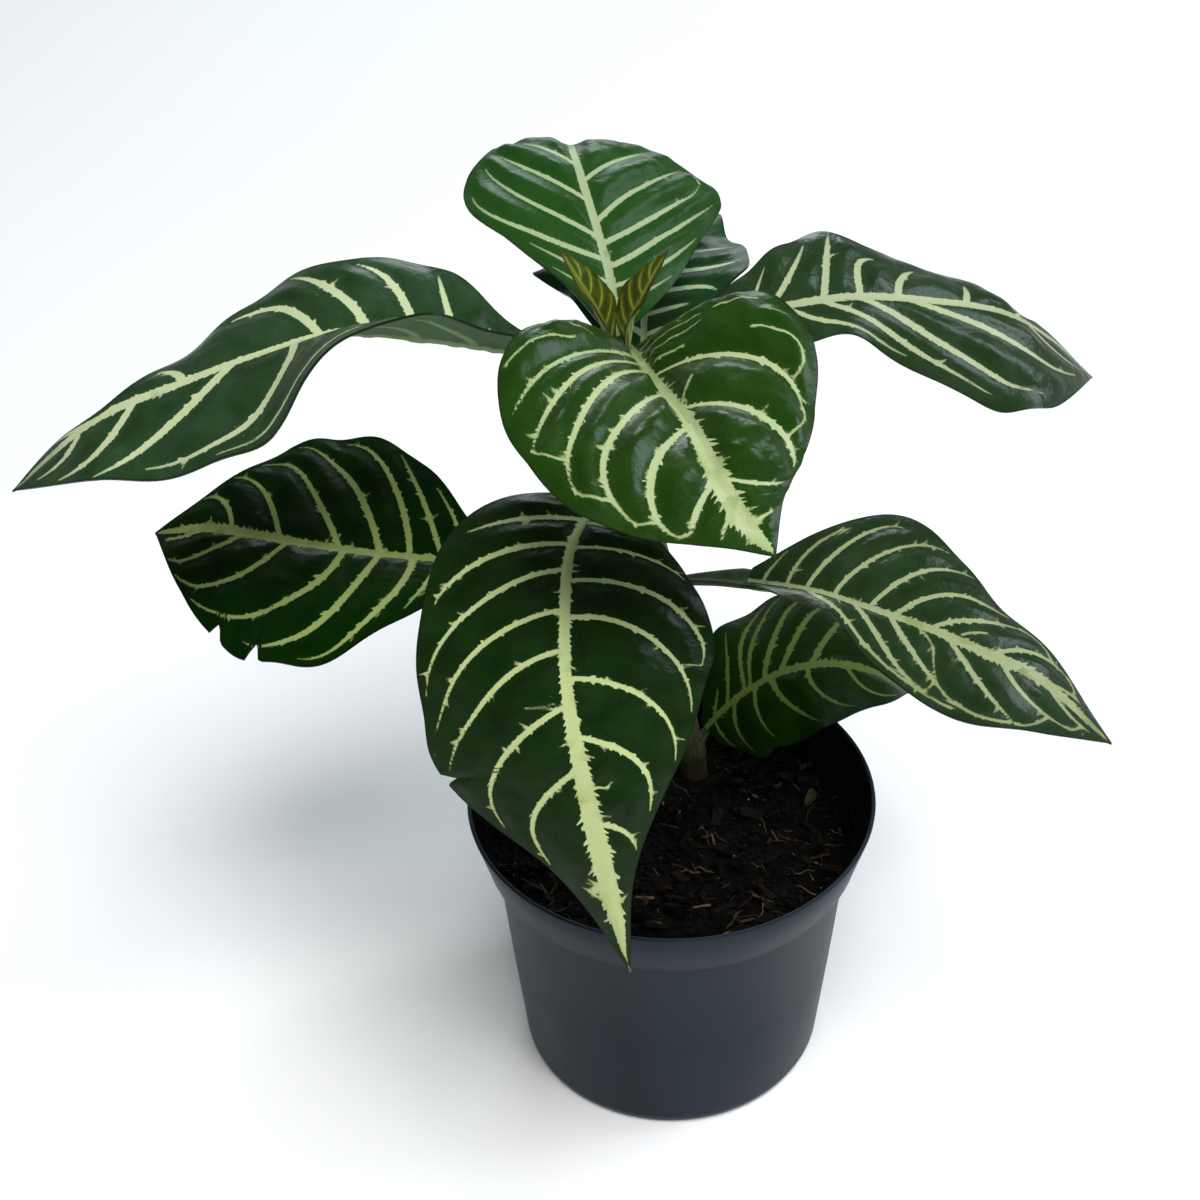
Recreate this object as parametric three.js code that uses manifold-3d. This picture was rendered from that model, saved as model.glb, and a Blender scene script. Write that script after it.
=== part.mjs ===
// Aphelandra (zebra plant) standing in its plastic nursery pot.
// Millimetres, +Z up. The origin is the centre of the pot's underside; the plant faces -Y.

import * as THREE from 'three';
import { mergeVertices } from 'three/addons/utils/BufferGeometryUtils.js';
import Module from 'manifold-3d';

const wasm = await Module();
wasm.setup();

// ---------------------------------------------------------------- driving dimensions

const GAP = 0.3;                    // clearance wherever one piece sits in or on another

const POT_HEIGHT = 102;
const POT_RIM_RADIUS = 65;
const POT_WALL = 1.5;
const POT_BASE_RADIUS = 50.3;       // body wall carried down to the underside
const POT_BASE_ROUNDING = 4;
const POT_FLOOR = 2;
const BAND_HEIGHT = 18;             // stiffening band under the lip
const BAND_FOOT_RADIUS = 59;
const BAND_STEP = 1.7;              // how far the band stands out from the body
const LIP_ROUNDING = 0.7;
const DRAIN_HOLES = 8;
const DRAIN_RADIUS = 4;
const DRAIN_CIRCLE = 38;
const DRAIN_SIDES = 12;
const POT_SEGMENTS = 52;

const SOIL_LEVEL = 87;
const SOIL_MOUND = 5;               // the root ball stands a little proud round the stem
const SOIL_LUMP = 1.6;
const SOIL_RINGS = 8;
const SOIL_SEGMENTS = 34;
const SOIL_SEED = 41;

const STEM_FOOT = 58;               // the stem's lower end, down in the soil
const STEM_TOP = 259;
const STEM_RADIUS = 4.6;            // at the soil
const STEM_TIP_RADIUS = 3.2;
const NODE_SWELL = 0.7;             // thickening at each pair of leaves
const NODE_LENGTH = 7;
const STEM_SEGMENTS = 12;
const STEM_HOLE_SIDES = 16;
const STEM_LINE = [                 // the stem leans and straightens as it climbs
  [9, 21, 58], [8, 20, 88], [5, 18, 110], [0, 16, 143], [-3, 14, 176],
  [-9, 11, 212], [-12, 9, 243], [-14, 8, 259],
];
const STEM_NODES = { base: 104, low: 176, middle: 212, upper: 243, top: 254, tip: 259 };

const BLADE_THICKNESS = 0.7;
const RIB_HALF_WIDTH = 1.3;         // midrib, raised on the underside
const RIB_DEPTH = 2.4;
const PETIOLE_HALF_WIDTH = 1.9;
const PETIOLE_DEPTH = 2.6;
const TIP_HALF_WIDTH = 0.5;
const BLADE_ROWS = 16;
const YOUNG_ROWS = 10;
const PETIOLE_ROWS = 4;
const HALF_COLUMNS = 4;             // columns from the midrib to one margin
const PETIOLE_EDGE = 0.85;          // share of a quarter turn from the petiole's middle to its edge

// Each leaf: the stem node that carries it, its heading in plan (degrees from +X towards +Y),
// the petiole's way from the stem to the blade, and the midrib from the blade's foot to its tip.
// left and right are as seen from foot to tip. half is the half width, lift the angle at which
// the half blade leaves the midrib, and droop how far it bends back down before the margin,
// each at even steps from foot to tip. wave is the margin's rise and fall and its number of waves.
const LEAVES = [
  {
    name: 'leaf_front', node: 'middle', heading: 269,
    petiole: [[-14, 0, 219]],
    midrib: [[-20, -12, 223], [-27, -34, 222], [-28, -56, 217], [-27, -75, 206],
      [-23, -89, 188], [-18, -98, 166], [-11, -104, 131]],
    left: { half: [2, 25, 34, 40, 38, 32, 20, 6, 0], lift: [25, 12, 5, -3, -8, -10, -20],
      droop: [25, 25, 20, 15] },
    right: { half: [2, 29, 38, 41, 41, 39, 26, 9, 0], lift: [20, 8, 0, -5, -8, -5, 0],
      droop: [25, 25, 20, 10], nicks: [[0.6, 5, 3]] },
    wave: [0.8, 5],
  },
  {
    name: 'leaf_heart', node: 'top', heading: 293,
    petiole: [[-12.5, 1.5, 261]],
    midrib: [[-11, -2, 264], [-6, -18, 266], [-1, -34, 269], [5, -52, 271], [10, -68, 269],
      [16, -78, 263], [25, -86, 256]],
    left: { half: [2, 34, 42, 40, 33, 27, 22, 12, 0], lift: [50, 40, 25, 15, 5, 0],
      droop: [20, 35, 40, 30, 10] },
    right: { half: [2, 33, 42, 45, 44, 39, 27, 9, 0], lift: [55, 42, 25, 15, 5, 0],
      droop: [20, 35, 40, 30, 10] },
    wave: [0.6, 4],
  },
  {
    name: 'leaf_left', node: 'upper', heading: 187,
    petiole: [[-21, 6, 250]],
    midrib: [[-31, 4, 258], [-45, 2, 263], [-65, -1, 268], [-87, -5, 272], [-109, -10, 268],
      [-130, -15, 262], [-154, -20, 252], [-176, -25, 234]],
    left: { half: [2, 9, 14, 18, 27, 33, 27, 15, 0], lift: [45, 55, 55, 48, 20, -15, -25, -20, -10],
      droop: [10, 10, 10, 5, 10] },
    right: { half: [2, 11, 22, 28, 27, 17, 12, 6, 0], lift: [40, 35, 30, 25, 20, 15, 10, 5, 0],
      droop: [10, 20, 20, 20, 10] },
    wave: [1.6, 5],
  },
  {
    name: 'leaf_right', node: 'upper', heading: 14,
    petiole: [[-2, 9.5, 252]],
    midrib: [[8, 10, 262], [20, 13, 266], [32, 16, 268], [50, 21, 268], [70, 27, 264],
      [94, 33, 257], [110, 37, 246], [125, 40, 231]],
    left: { half: [2, 10, 17, 25, 21, 14, 7, 3, 0], lift: [40, 38, 35, 30, 20, 10, 0],
      droop: [10, 20, 30, 35, 20] },
    right: { half: [2, 10, 12, 12, 18, 28, 32, 23, 0], lift: [0, -10, -20, -25, -20, -10],
      droop: [10, 20, 30, 20, 10] },
    wave: [1.6, 5],
  },
  {
    name: 'leaf_low_left', node: 'low', heading: 174,
    petiole: [[-18, 15, 178], [-36, 16, 179]],
    midrib: [[-52, 17, 179], [-69, 18, 180], [-90, 20, 181], [-110, 22, 183], [-126, 24, 185],
      [-141, 26, 186], [-158, 28, 183]],
    left: { half: [2, 14, 29, 43, 45, 42, 33, 20, 0], lift: [10, 0, -5, -5, 0],
      droop: [10, 15, 20, 15], nicks: [[0.55, 9, 4], [0.69, 8, 2.5]] },
    right: { half: [2, 20, 35, 44, 44, 40, 25, 9, 0], lift: [25, 20, 15, 15, 20],
      droop: [0, 5, 10] },
    wave: [0.8, 5],
  },
  {
    name: 'leaf_low_right', node: 'low', heading: 336,
    petiole: [[5, 8, 181], [14, 1, 186]],
    midrib: [[22, -6, 190], [40, -16, 194], [55, -24, 194], [71, -32, 193], [86, -39, 190],
      [103, -45, 184], [122, -50, 164]],
    left: { half: [2, 13, 29, 34, 28, 20, 17, 11, 0], lift: [30, 25, 20, 10, 0],
      droop: [10, 20, 20, 10] },
    right: { half: [2, 6, 8, 15, 21, 22, 22, 13, 0], lift: [30, 10, -10, -10, 0],
      droop: [10, 20, 20, 10] },
    wave: [1, 4],
  },
  {
    name: 'leaf_bottom', node: 'base', heading: 25,
    petiole: [],
    midrib: [[12, 25, 107], [16, 28, 113], [22, 33, 117], [37, 39, 120], [53, 45, 118],
      [69, 50, 110], [81, 54, 98]],
    left: { half: [2, 9, 17, 23, 28, 30, 25, 14, 0], lift: [20, 20, 15, 10, 0],
      droop: [10, 10, 20, 10] },
    right: { half: [2, 24, 30, 27, 25, 22, 18, 11, 0], lift: [0, -5, -10, -10, 0],
      droop: [10, 20, 20, 10] },
    wave: [0.8, 4],
  },
  {
    name: 'leaf_top', node: 'top', heading: 101,
    petiole: [],
    midrib: [[-15, 15, 259], [-17, 26, 270], [-21, 39, 280], [-25, 52, 287], [-28, 65, 290],
      [-30, 77, 288], [-31, 87, 278], [-31, 92, 262]],
    left: { half: [2, 12, 26, 34, 34, 25, 16, 8, 0], lift: [15, 22, 19, 13, 11, 12, 10, 5],
      droop: [10, 20, 20, 20] },
    right: { half: [2, 18, 33, 44, 43, 34, 22, 10, 0], lift: [5, -3, -14, -11, -8, -3, 0, 0],
      droop: [10, 20, 20, 20] },
    wave: [0.8, 4],
  },
  {
    name: 'leaf_back', node: 'middle', heading: 90,
    petiole: [[-9, 20, 223]],
    midrib: [[-8, 29, 232], [-8, 42, 243], [-8, 55, 249], [-8, 69, 252], [-8, 83, 252],
      [-8, 97, 247], [-8, 109, 237], [-9, 118, 222]],
    left: { half: [2, 13, 25, 32, 34, 29, 21, 10, 0], lift: [15, 5, 0, -5, -5, -5],
      droop: [10, 20, 15, 10] },
    right: { half: [2, 17, 33, 34, 27, 24, 18, 10, 0], lift: [35, 44, 36, 24, 25, 28, 25, 20],
      droop: [10, 20, 15, 10] },
    wave: [1.2, 5],
  },
  {
    name: 'young_leaf_left', node: 'tip', heading: 170, young: true,
    petiole: [],
    midrib: [[-16, 7.5, 260], [-18.5, 6.5, 268], [-22, 6.5, 276], [-26, 7, 283], [-30, 8, 290]],
    left: { half: [1.2, 2.5, 4.5, 6, 6, 5, 3.5, 1.8, 0], lift: [60, 55, 45, 35], droop: [10, 15, 10] },
    right: { half: [1.2, 2.5, 4.5, 6, 6, 5, 3.5, 1.8, 0], lift: [60, 55, 45, 35], droop: [10, 15, 10] },
    wave: [0.3, 3],
  },
  {
    name: 'young_leaf_right', node: 'tip', heading: 12, young: true,
    petiole: [],
    midrib: [[-12, 7.5, 260], [-11.5, 6.5, 268], [-8, 6.5, 276], [-4.5, 7, 283], [-1, 8, 289]],
    left: { half: [1.2, 2.5, 4.5, 6, 6, 5, 3.5, 1.8, 0], lift: [60, 55, 45, 35], droop: [10, 15, 10] },
    right: { half: [1.2, 3.5, 6, 7.5, 7, 5.5, 3.5, 1.8, 0], lift: [60, 55, 45, 35], droop: [10, 15, 10] },
    wave: [0.3, 3],
  },
];

// ---------------------------------------------------------------- helpers

const UP = new THREE.Vector3(0, 0, 1);
const radians = THREE.MathUtils.degToRad;

// A smooth value at u (0 to 1) through evenly spaced numbers.
function along(values, u) {
  const last = values.length - 1;
  const place = THREE.MathUtils.clamp(u, 0, 1) * last;
  const i = Math.min(Math.floor(place), last - 1);
  const f = place - i;
  const b = values[i];
  const c = values[i + 1];
  const a = i > 0 ? values[i - 1] : 2 * b - c;
  const d = i + 2 <= last ? values[i + 2] : 2 * c - b;
  return 0.5 * (2 * b + (c - a) * f + (2 * a - 5 * b + 4 * c - d) * f ** 2
    + (3 * b - a - 3 * c + d) * f ** 3);
}

function curveThrough(points) {
  return new THREE.CatmullRomCurve3(points, false, 'catmullrom', 0.5);
}

// Repeatable random numbers between 0 and 1.
function randomFrom(seed) {
  let state = seed;
  return () => {
    state = (state * 1664525 + 1013904223) % 4294967296;
    return state / 4294967296;
  };
}

// manifold-3d solid of a closed geometry, and back.
function toSolid(geometry) {
  const bare = geometry.clone();
  bare.deleteAttribute('normal');
  bare.deleteAttribute('uv');
  const merged = mergeVertices(bare, 1e-4);
  return new wasm.Manifold(new wasm.Mesh({
    numProp: 3,
    vertProperties: new Float32Array(merged.attributes.position.array),
    triVerts: new Uint32Array(merged.index.array),
  }));
}

function toGeometry(solid) {
  const mesh = solid.getMesh();
  const geometry = new THREE.BufferGeometry();
  geometry.setAttribute('position', new THREE.BufferAttribute(mesh.vertProperties, 3));
  geometry.setIndex(new THREE.BufferAttribute(mesh.triVerts, 1));
  geometry.computeVertexNormals();
  return geometry;
}

// A lathed shape standing on +Z from its outline of [radius, height] pairs.
function turned(outline, segments) {
  const points = outline.map(([radius, height]) => new THREE.Vector2(radius, height));
  return new THREE.LatheGeometry(points, segments).rotateX(Math.PI / 2);
}

// Points of an arc in an outline, from angle a to angle b in degrees.
function arcPoints(centreRadius, centreHeight, radius, a, b, steps) {
  return Array.from({ length: steps + 1 }, (_, i) => {
    const angle = radians(a + (b - a) * i / steps);
    return [centreRadius + radius * Math.cos(angle), centreHeight + radius * Math.sin(angle)];
  });
}

// A round prism between two heights, in steps that let it be bent afterwards.
function upright(radius, sides, bottom, top, steps = 1) {
  const outline = new THREE.Shape().absarc(0, 0, radius, 0, 2 * Math.PI);
  const prism = new THREE.ExtrudeGeometry(outline, {
    depth: top - bottom, steps, bevelEnabled: false, curveSegments: sides / 2,
  });
  return prism.translate(0, 0, bottom);
}

// ---------------------------------------------------------------- pot

const bandFoot = POT_HEIGHT - BAND_HEIGHT;
const bodyTopRadius = BAND_FOOT_RADIUS - BAND_STEP;
const bodySlope = (bodyTopRadius - POT_BASE_RADIUS) / bandFoot;
const bodyRadius = (height) => POT_BASE_RADIUS + bodySlope * height;
const bandSlope = (POT_RIM_RADIUS - BAND_FOOT_RADIUS) / BAND_HEIGHT;
const bandRadius = (height) => BAND_FOOT_RADIUS + bandSlope * (height - bandFoot);

function innerRadius(height) {
  const outside = height > bandFoot ? bandRadius(height) : bodyRadius(height);
  return outside - POT_WALL;
}

function pot() {
  const lipCentre = POT_RIM_RADIUS - LIP_ROUNDING;
  const outline = [
    [0, 0],
    ...arcPoints(POT_BASE_RADIUS - POT_BASE_ROUNDING, POT_BASE_ROUNDING, POT_BASE_ROUNDING, -90, 0, 3),
    [bodyRadius(40), 40],
    [bodyTopRadius, bandFoot - 1],
    [BAND_FOOT_RADIUS, bandFoot],
    [bandRadius(POT_HEIGHT - 5), POT_HEIGHT - 5],
    ...arcPoints(lipCentre, POT_HEIGHT - LIP_ROUNDING, LIP_ROUNDING, 0, 180, 4),
    [innerRadius(bandFoot + 3), bandFoot + 3],
    [innerRadius(bandFoot - 2), bandFoot - 2],
    [innerRadius(40), 40],
    [innerRadius(POT_FLOOR + 3), POT_FLOOR + 3],
    [innerRadius(POT_FLOOR) - 3, POT_FLOOR],
    [0, POT_FLOOR],
  ];
  let shell = toSolid(turned(outline, POT_SEGMENTS));
  for (let i = 0; i < DRAIN_HOLES; i += 1) {
    const angle = (i + 0.5) * 2 * Math.PI / DRAIN_HOLES;
    const hole = upright(DRAIN_RADIUS, DRAIN_SIDES, -1, POT_FLOOR + 1);
    hole.translate(DRAIN_CIRCLE * Math.cos(angle), DRAIN_CIRCLE * Math.sin(angle), 0);
    shell = shell.subtract(toSolid(hole));
  }
  return toGeometry(shell);
}

// ---------------------------------------------------------------- stem

const stemCurve = curveThrough(STEM_LINE.map((point) => new THREE.Vector3(...point)));

// Where the stem's middle is at a height, found by halving along the curve.
function stemAt(height) {
  let low = 0;
  let high = 1;
  for (let i = 0; i < 40; i += 1) {
    const middle = (low + high) / 2;
    if (stemCurve.getPoint(middle).z < height) low = middle;
    else high = middle;
  }
  return stemCurve.getPoint(low);
}

function stemRadius(height) {
  const share = THREE.MathUtils.clamp((height - SOIL_LEVEL) / (STEM_TOP - SOIL_LEVEL), 0, 1);
  const plain = STEM_RADIUS + (STEM_TIP_RADIUS - STEM_RADIUS) * share;
  const swell = Object.values(STEM_NODES).reduce((sum, node) => {
    const away = (height - node) / (NODE_LENGTH / 2);
    return Math.max(sum, NODE_SWELL * Math.exp(-away * away));
  }, 0);
  return plain + swell;
}

function stem() {
  const heights = [STEM_FOOT, 72, SOIL_LEVEL + 3];
  for (const node of Object.values(STEM_NODES)) heights.push(node - 3.5, node, node + 3.5);
  heights.push(121, 143, 162, 190, 227, STEM_TOP);
  const ordered = [...new Set(heights)].filter((z) => z <= STEM_TOP).sort((a, b) => a - b);
  const outline = [[0, STEM_FOOT], ...ordered.map((z) => [stemRadius(z), z]), [0, STEM_TOP]];
  const geometry = turned(outline, STEM_SEGMENTS);
  const position = geometry.attributes.position;
  for (let i = 0; i < position.count; i += 1) {
    const middle = stemAt(position.getZ(i));
    position.setX(i, position.getX(i) + middle.x);
    position.setY(i, position.getY(i) + middle.y);
  }
  return toGeometry(toSolid(geometry));
}

// ---------------------------------------------------------------- soil

// Potting mix filling the pot, with a lumpy top and a plain hole that the stem stands in.
function soil() {
  const random = randomFrom(SOIL_SEED);
  const lumps = Array.from({ length: 26 }, () => ({
    radius: Math.sqrt(random()) * bodyTopRadius,
    angle: random() * 2 * Math.PI,
    size: 5 + 7 * random(),
    height: SOIL_LUMP * (2 * random() - 0.8),
  }));
  const foot = stemAt(SOIL_LEVEL);
  const edge = innerRadius(SOIL_LEVEL) - GAP;
  const surface = (x, y) => {
    const mound = SOIL_MOUND * Math.exp(-(((x - foot.x) ** 2 + (y - foot.y) ** 2) / 22 ** 2));
    const inward = 1 - (Math.hypot(x, y) / edge) ** 6;
    return SOIL_LEVEL + lumps.reduce((sum, lump) => {
      const dx = x - lump.radius * Math.cos(lump.angle);
      const dy = y - lump.radius * Math.sin(lump.angle);
      return sum + inward * lump.height * Math.exp(-(dx * dx + dy * dy) / lump.size ** 2);
    }, mound * inward);
  };
  const outline = [
    [0, POT_FLOOR + GAP],
    [innerRadius(POT_FLOOR) - 3 - GAP, POT_FLOOR + GAP],
    [innerRadius(POT_FLOOR + 3) - GAP, POT_FLOOR + 3 + GAP],
    [innerRadius(40) - GAP, 40],
    [innerRadius(bandFoot - 2) - 2 * GAP, bandFoot - 2],
    ...Array.from({ length: SOIL_RINGS }, (_, i) => [edge * (1 - i / SOIL_RINGS), SOIL_LEVEL]),
    [0, SOIL_LEVEL],
  ];
  const geometry = turned(outline, SOIL_SEGMENTS);
  const position = geometry.attributes.position;
  for (let i = 0; i < position.count; i += 1) {
    if (position.getZ(i) < SOIL_LEVEL - 0.01) continue;
    position.setZ(i, surface(position.getX(i), position.getY(i)));
  }
  const holeRadius = STEM_RADIUS + 1.5 * GAP;
  const hole = upright(holeRadius, STEM_HOLE_SIDES, STEM_FOOT - GAP, SOIL_LEVEL + 12, 6);
  const holePosition = hole.attributes.position;
  for (let i = 0; i < holePosition.count; i += 1) {
    const middle = stemAt(holePosition.getZ(i));
    holePosition.setX(i, holePosition.getX(i) + middle.x);
    holePosition.setY(i, holePosition.getY(i) + middle.y);
  }
  return toGeometry(toSolid(geometry).subtract(toSolid(hole)));
}

// ---------------------------------------------------------------- leaves

// A small tear in the margin narrows the half blade beside it: [place, depth, half width in mm].
function halfWidth(side, u, length) {
  const whole = Math.max(along(side.half, u), TIP_HALF_WIDTH);
  return (side.nicks ?? []).reduce((width, [place, depth, reach]) => {
    const away = Math.abs(u - place) * length / reach;
    return away < 1 ? Math.max(width - depth * (1 - away), TIP_HALF_WIDTH) : width;
  }, whole);
}

// Directions at a point of a leaf's middle line: ahead, to the right, and out of its upper face.
function frameAt(curve, u, heading) {
  const ahead = curve.getTangent(u);
  const right = new THREE.Vector3(Math.sin(radians(heading)), -Math.cos(radians(heading)), 0);
  right.addScaledVector(ahead, -right.dot(ahead)).normalize();
  const out = new THREE.Vector3().crossVectors(right, ahead);
  return { point: curve.getPoint(u), right, out };
}

// One point of the half blade: share runs from 0 at the midrib to 1 at the margin.
function bladePoint(frame, side, sign, u, share, width, wave) {
  const lift = radians(along(side.lift, u));
  const bend = radians(along(side.droop, u)) || 1e-3;
  const sideways = (Math.sin(lift) - Math.sin(lift - bend * share)) / bend;
  const upwards = (Math.cos(lift - bend * share) - Math.cos(lift)) / bend;
  const ripple = wave[0] * share * share * Math.sin(2 * Math.PI * (wave[1] * u + 0.2 * sign))
    * Math.sin(Math.PI * u);
  const slope = lift - bend * share;
  const normal = frame.out.clone().multiplyScalar(Math.cos(slope))
    .addScaledVector(frame.right, -sign * Math.sin(slope));
  const point = frame.point.clone()
    .addScaledVector(frame.right, sign * width * sideways)
    .addScaledVector(frame.out, width * upwards + ripple);
  return { point, normal };
}

// Upper and lower points across the blade at u, from the left margin to the right.
function bladeSection(leaf, curve, length, u) {
  const frame = frameAt(curve, u, leaf.heading);
  const ribDepth = leaf.young ? RIB_DEPTH / 2 : RIB_DEPTH;
  const upper = [];
  const lower = [];
  for (let c = -HALF_COLUMNS; c <= HALF_COLUMNS; c += 1) {
    const sign = c < 0 ? -1 : 1;
    const side = c < 0 ? leaf.left : leaf.right;
    const width = halfWidth(side, u, length);
    const rib = Math.min(0.5, RIB_HALF_WIDTH / width);
    const step = (Math.abs(c) - 1) / (HALF_COLUMNS - 1);
    const share = c === 0 ? 0 : rib + (1 - rib) * step;
    const { point, normal } = bladePoint(frame, side, sign, u, share, width, leaf.wave);
    const ribHere = BLADE_THICKNESS + (ribDepth - BLADE_THICKNESS) * (1 - 0.8 * u);
    const thickness = c === 0 ? ribHere : BLADE_THICKNESS;
    upper.push(point);
    lower.push(point.clone().addScaledVector(normal, -thickness));
  }
  return { upper, lower };
}

// Upper and lower points round the petiole, in the same number of columns as the blade.
function petioleSection(leaf, curve, u) {
  const frame = frameAt(curve, u, leaf.heading);
  const halfDepth = PETIOLE_DEPTH / 2;
  const upper = [];
  const lower = [];
  for (let c = -HALF_COLUMNS; c <= HALF_COLUMNS; c += 1) {
    const angle = PETIOLE_EDGE * (Math.PI / 2) * c / HALF_COLUMNS;
    const across = frame.point.clone()
      .addScaledVector(frame.right, PETIOLE_HALF_WIDTH * Math.sin(angle));
    const rise = halfDepth * Math.cos(angle);
    upper.push(across.clone().addScaledVector(frame.out, rise - halfDepth));
    lower.push(across.clone().addScaledVector(frame.out, -rise - halfDepth));
  }
  return { upper, lower };
}

// A closed skin over sections from foot to tip. Both faces are split along the same diagonals.
function skinOver(sections) {
  const columns = sections[0].upper.length;
  const positions = [];
  for (const { upper, lower } of sections) {
    for (const point of [...upper, ...lower]) positions.push(...point.toArray());
  }
  const top = (row, column) => row * 2 * columns + column;
  const under = (row, column) => top(row, column) + columns;
  const triangles = [];
  const quad = (a, b, c, d) => triangles.push(a, b, c, a, c, d);
  const last = sections.length - 1;
  for (let row = 0; row < last; row += 1) {
    for (let column = 0; column < columns - 1; column += 1) {
      quad(top(row, column), top(row, column + 1), top(row + 1, column + 1), top(row + 1, column));
      const [a, b] = [under(row, column), under(row, column + 1)];
      const [c, d] = [under(row + 1, column + 1), under(row + 1, column)];
      triangles.push(a, c, b, a, d, c);
    }
    const end = columns - 1;
    quad(top(row, 0), top(row + 1, 0), under(row + 1, 0), under(row, 0));
    quad(top(row + 1, end), top(row, end), under(row, end), under(row + 1, end));
  }
  for (let column = 0; column < columns - 1; column += 1) {
    quad(top(0, column + 1), top(0, column), under(0, column), under(0, column + 1));
    quad(top(last, column), top(last, column + 1), under(last, column + 1), under(last, column));
  }
  const geometry = new THREE.BufferGeometry();
  geometry.setAttribute('position', new THREE.Float32BufferAttribute(positions, 3));
  geometry.setIndex(triangles);
  geometry.computeVertexNormals();
  return geometry;
}

// The petiole starts just clear of the stem's surface, on the side that it leaves from.
function petioleCurve(leaf, bladeFoot) {
  const height = STEM_NODES[leaf.node];
  const centre = stemAt(height);
  const next = leaf.petiole.length ? new THREE.Vector3(...leaf.petiole[0]) : bladeFoot;
  const outwards = new THREE.Vector3(next.x - centre.x, next.y - centre.y, 0).normalize();
  const start = centre.addScaledVector(outwards, stemRadius(height) + GAP);
  start.z = height + PETIOLE_DEPTH / 2;
  const between = leaf.petiole.map((point) => new THREE.Vector3(...point));
  return curveThrough([start, ...between, bladeFoot]);
}

// Rows of the blade from foot to tip, with a row at each side and at the bottom of a tear.
function rowPlaces(leaf, length) {
  const rows = leaf.young ? YOUNG_ROWS : BLADE_ROWS;
  const places = Array.from({ length: rows + 1 }, (_, i) => i / rows);
  for (const side of [leaf.left, leaf.right]) {
    for (const [place, , reach] of side.nicks ?? []) {
      places.push(place - reach / length, place, place + reach / length);
    }
  }
  places.sort((a, b) => a - b);
  return places.filter((u, i) => i === 0 || u - places[i - 1] > 0.004);
}

function leafShape(leaf) {
  const midrib = curveThrough(leaf.midrib.map((point) => new THREE.Vector3(...point)));
  const length = midrib.getLength();
  const sections = [];
  if (!leaf.young) {
    const petiole = petioleCurve(leaf, midrib.getPoint(0));
    for (let i = 0; i < PETIOLE_ROWS; i += 1) {
      sections.push(petioleSection(leaf, petiole, i / PETIOLE_ROWS));
    }
  }
  for (const u of rowPlaces(leaf, length)) sections.push(bladeSection(leaf, midrib, length, u));
  return skinOver(sections);
}

// ---------------------------------------------------------------- assembly

const MATERIALS = {
  pot: { color: '#30373f', roughness: 0.42, metalness: 0 },
  soil: { color: '#1b130e', roughness: 0.97, metalness: 0 },
  stem: { color: '#4a4a2c', roughness: 0.6, metalness: 0 },
  leaf: { color: '#1f3d22', roughness: 0.38, metalness: 0 },
  young: { color: '#5a6a28', roughness: 0.45, metalness: 0 },
};

const plant = new THREE.Group();

function place(name, geometry, finish) {
  const mesh = new THREE.Mesh(geometry, new THREE.MeshStandardMaterial(MATERIALS[finish]));
  mesh.name = name;
  plant.add(mesh);
}

place('pot', pot(), 'pot');
place('soil', soil(), 'soil');
place('stem', stem(), 'stem');
for (const leaf of LEAVES) place(leaf.name, leafShape(leaf), leaf.young ? 'young' : 'leaf');

export default plant;
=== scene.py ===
import math

import bpy
import numpy as np
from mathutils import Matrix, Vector, noise


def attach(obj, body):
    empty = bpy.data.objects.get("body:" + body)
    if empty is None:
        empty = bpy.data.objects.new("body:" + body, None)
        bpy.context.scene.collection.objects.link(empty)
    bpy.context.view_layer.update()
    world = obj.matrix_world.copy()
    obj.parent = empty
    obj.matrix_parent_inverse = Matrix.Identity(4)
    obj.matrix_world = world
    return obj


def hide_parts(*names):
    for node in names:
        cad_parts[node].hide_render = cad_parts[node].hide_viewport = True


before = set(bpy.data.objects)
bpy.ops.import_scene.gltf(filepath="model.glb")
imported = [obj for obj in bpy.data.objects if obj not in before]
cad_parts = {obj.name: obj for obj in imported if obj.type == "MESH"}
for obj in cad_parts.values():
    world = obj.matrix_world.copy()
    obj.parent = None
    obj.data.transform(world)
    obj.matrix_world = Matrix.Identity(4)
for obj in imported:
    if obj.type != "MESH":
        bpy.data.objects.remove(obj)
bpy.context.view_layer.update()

# ---------------------------------------------------------------- studio
# A plain white floor in a pale room, under soft light: a broad key above the front, polarised so
# that it gives no gloss, then a cool light on the right and a low window behind, which give the
# leaves theirs.

MM = 0.001
FLOOR_SIZE = 3.4
FLOOR_LEVEL = -0.3 * MM
CAMERA_ELEVATION = math.radians(37)
CAMERA_DISTANCE = 600 * MM
LOOKED_AT = Vector((0, 0, 178.3 * MM))
LENS = 60.75
SIDE_SHIFT = -71.5 / 1200


def linear(colour):
    """A hex colour as the linear red, green, blue and alpha that shaders take."""
    parts = [int(colour[i:i + 2], 16) / 255 for i in (1, 3, 5)]
    return [p / 12.92 if p <= 0.04045 else ((p + 0.055) / 1.055) ** 2.4 for p in parts] + [1.0]


def add_node(tree, kind, links=None, **settings):
    """Adds a shader node. links gives each input a number, a colour, or a node or socket to follow."""
    made = tree.nodes.new("ShaderNode" + kind)
    for name, value in settings.items():
        setattr(made, name, value)
    for name, value in (links or {}).items():
        shown = [s for s in made.inputs if s.enabled]
        socket = shown[name] if isinstance(name, int) else next(s for s in shown if s.name == name)
        if isinstance(value, bpy.types.Node):
            value = next(s for s in value.outputs if s.enabled)
        if isinstance(value, bpy.types.NodeSocket):
            tree.links.new(value, socket)
        else:
            socket.default_value = value
    return made


def new_material(name):
    """An empty material and its node tree."""
    material = bpy.data.materials.new(name)
    material.use_nodes = True
    material.node_tree.nodes.clear()
    return material, material.node_tree


def aim(thing, target):
    """Turns a lamp or the camera towards a place."""
    thing.rotation_euler = (Vector(target) - thing.location).to_track_quat("-Z", "Y").to_euler()


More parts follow.
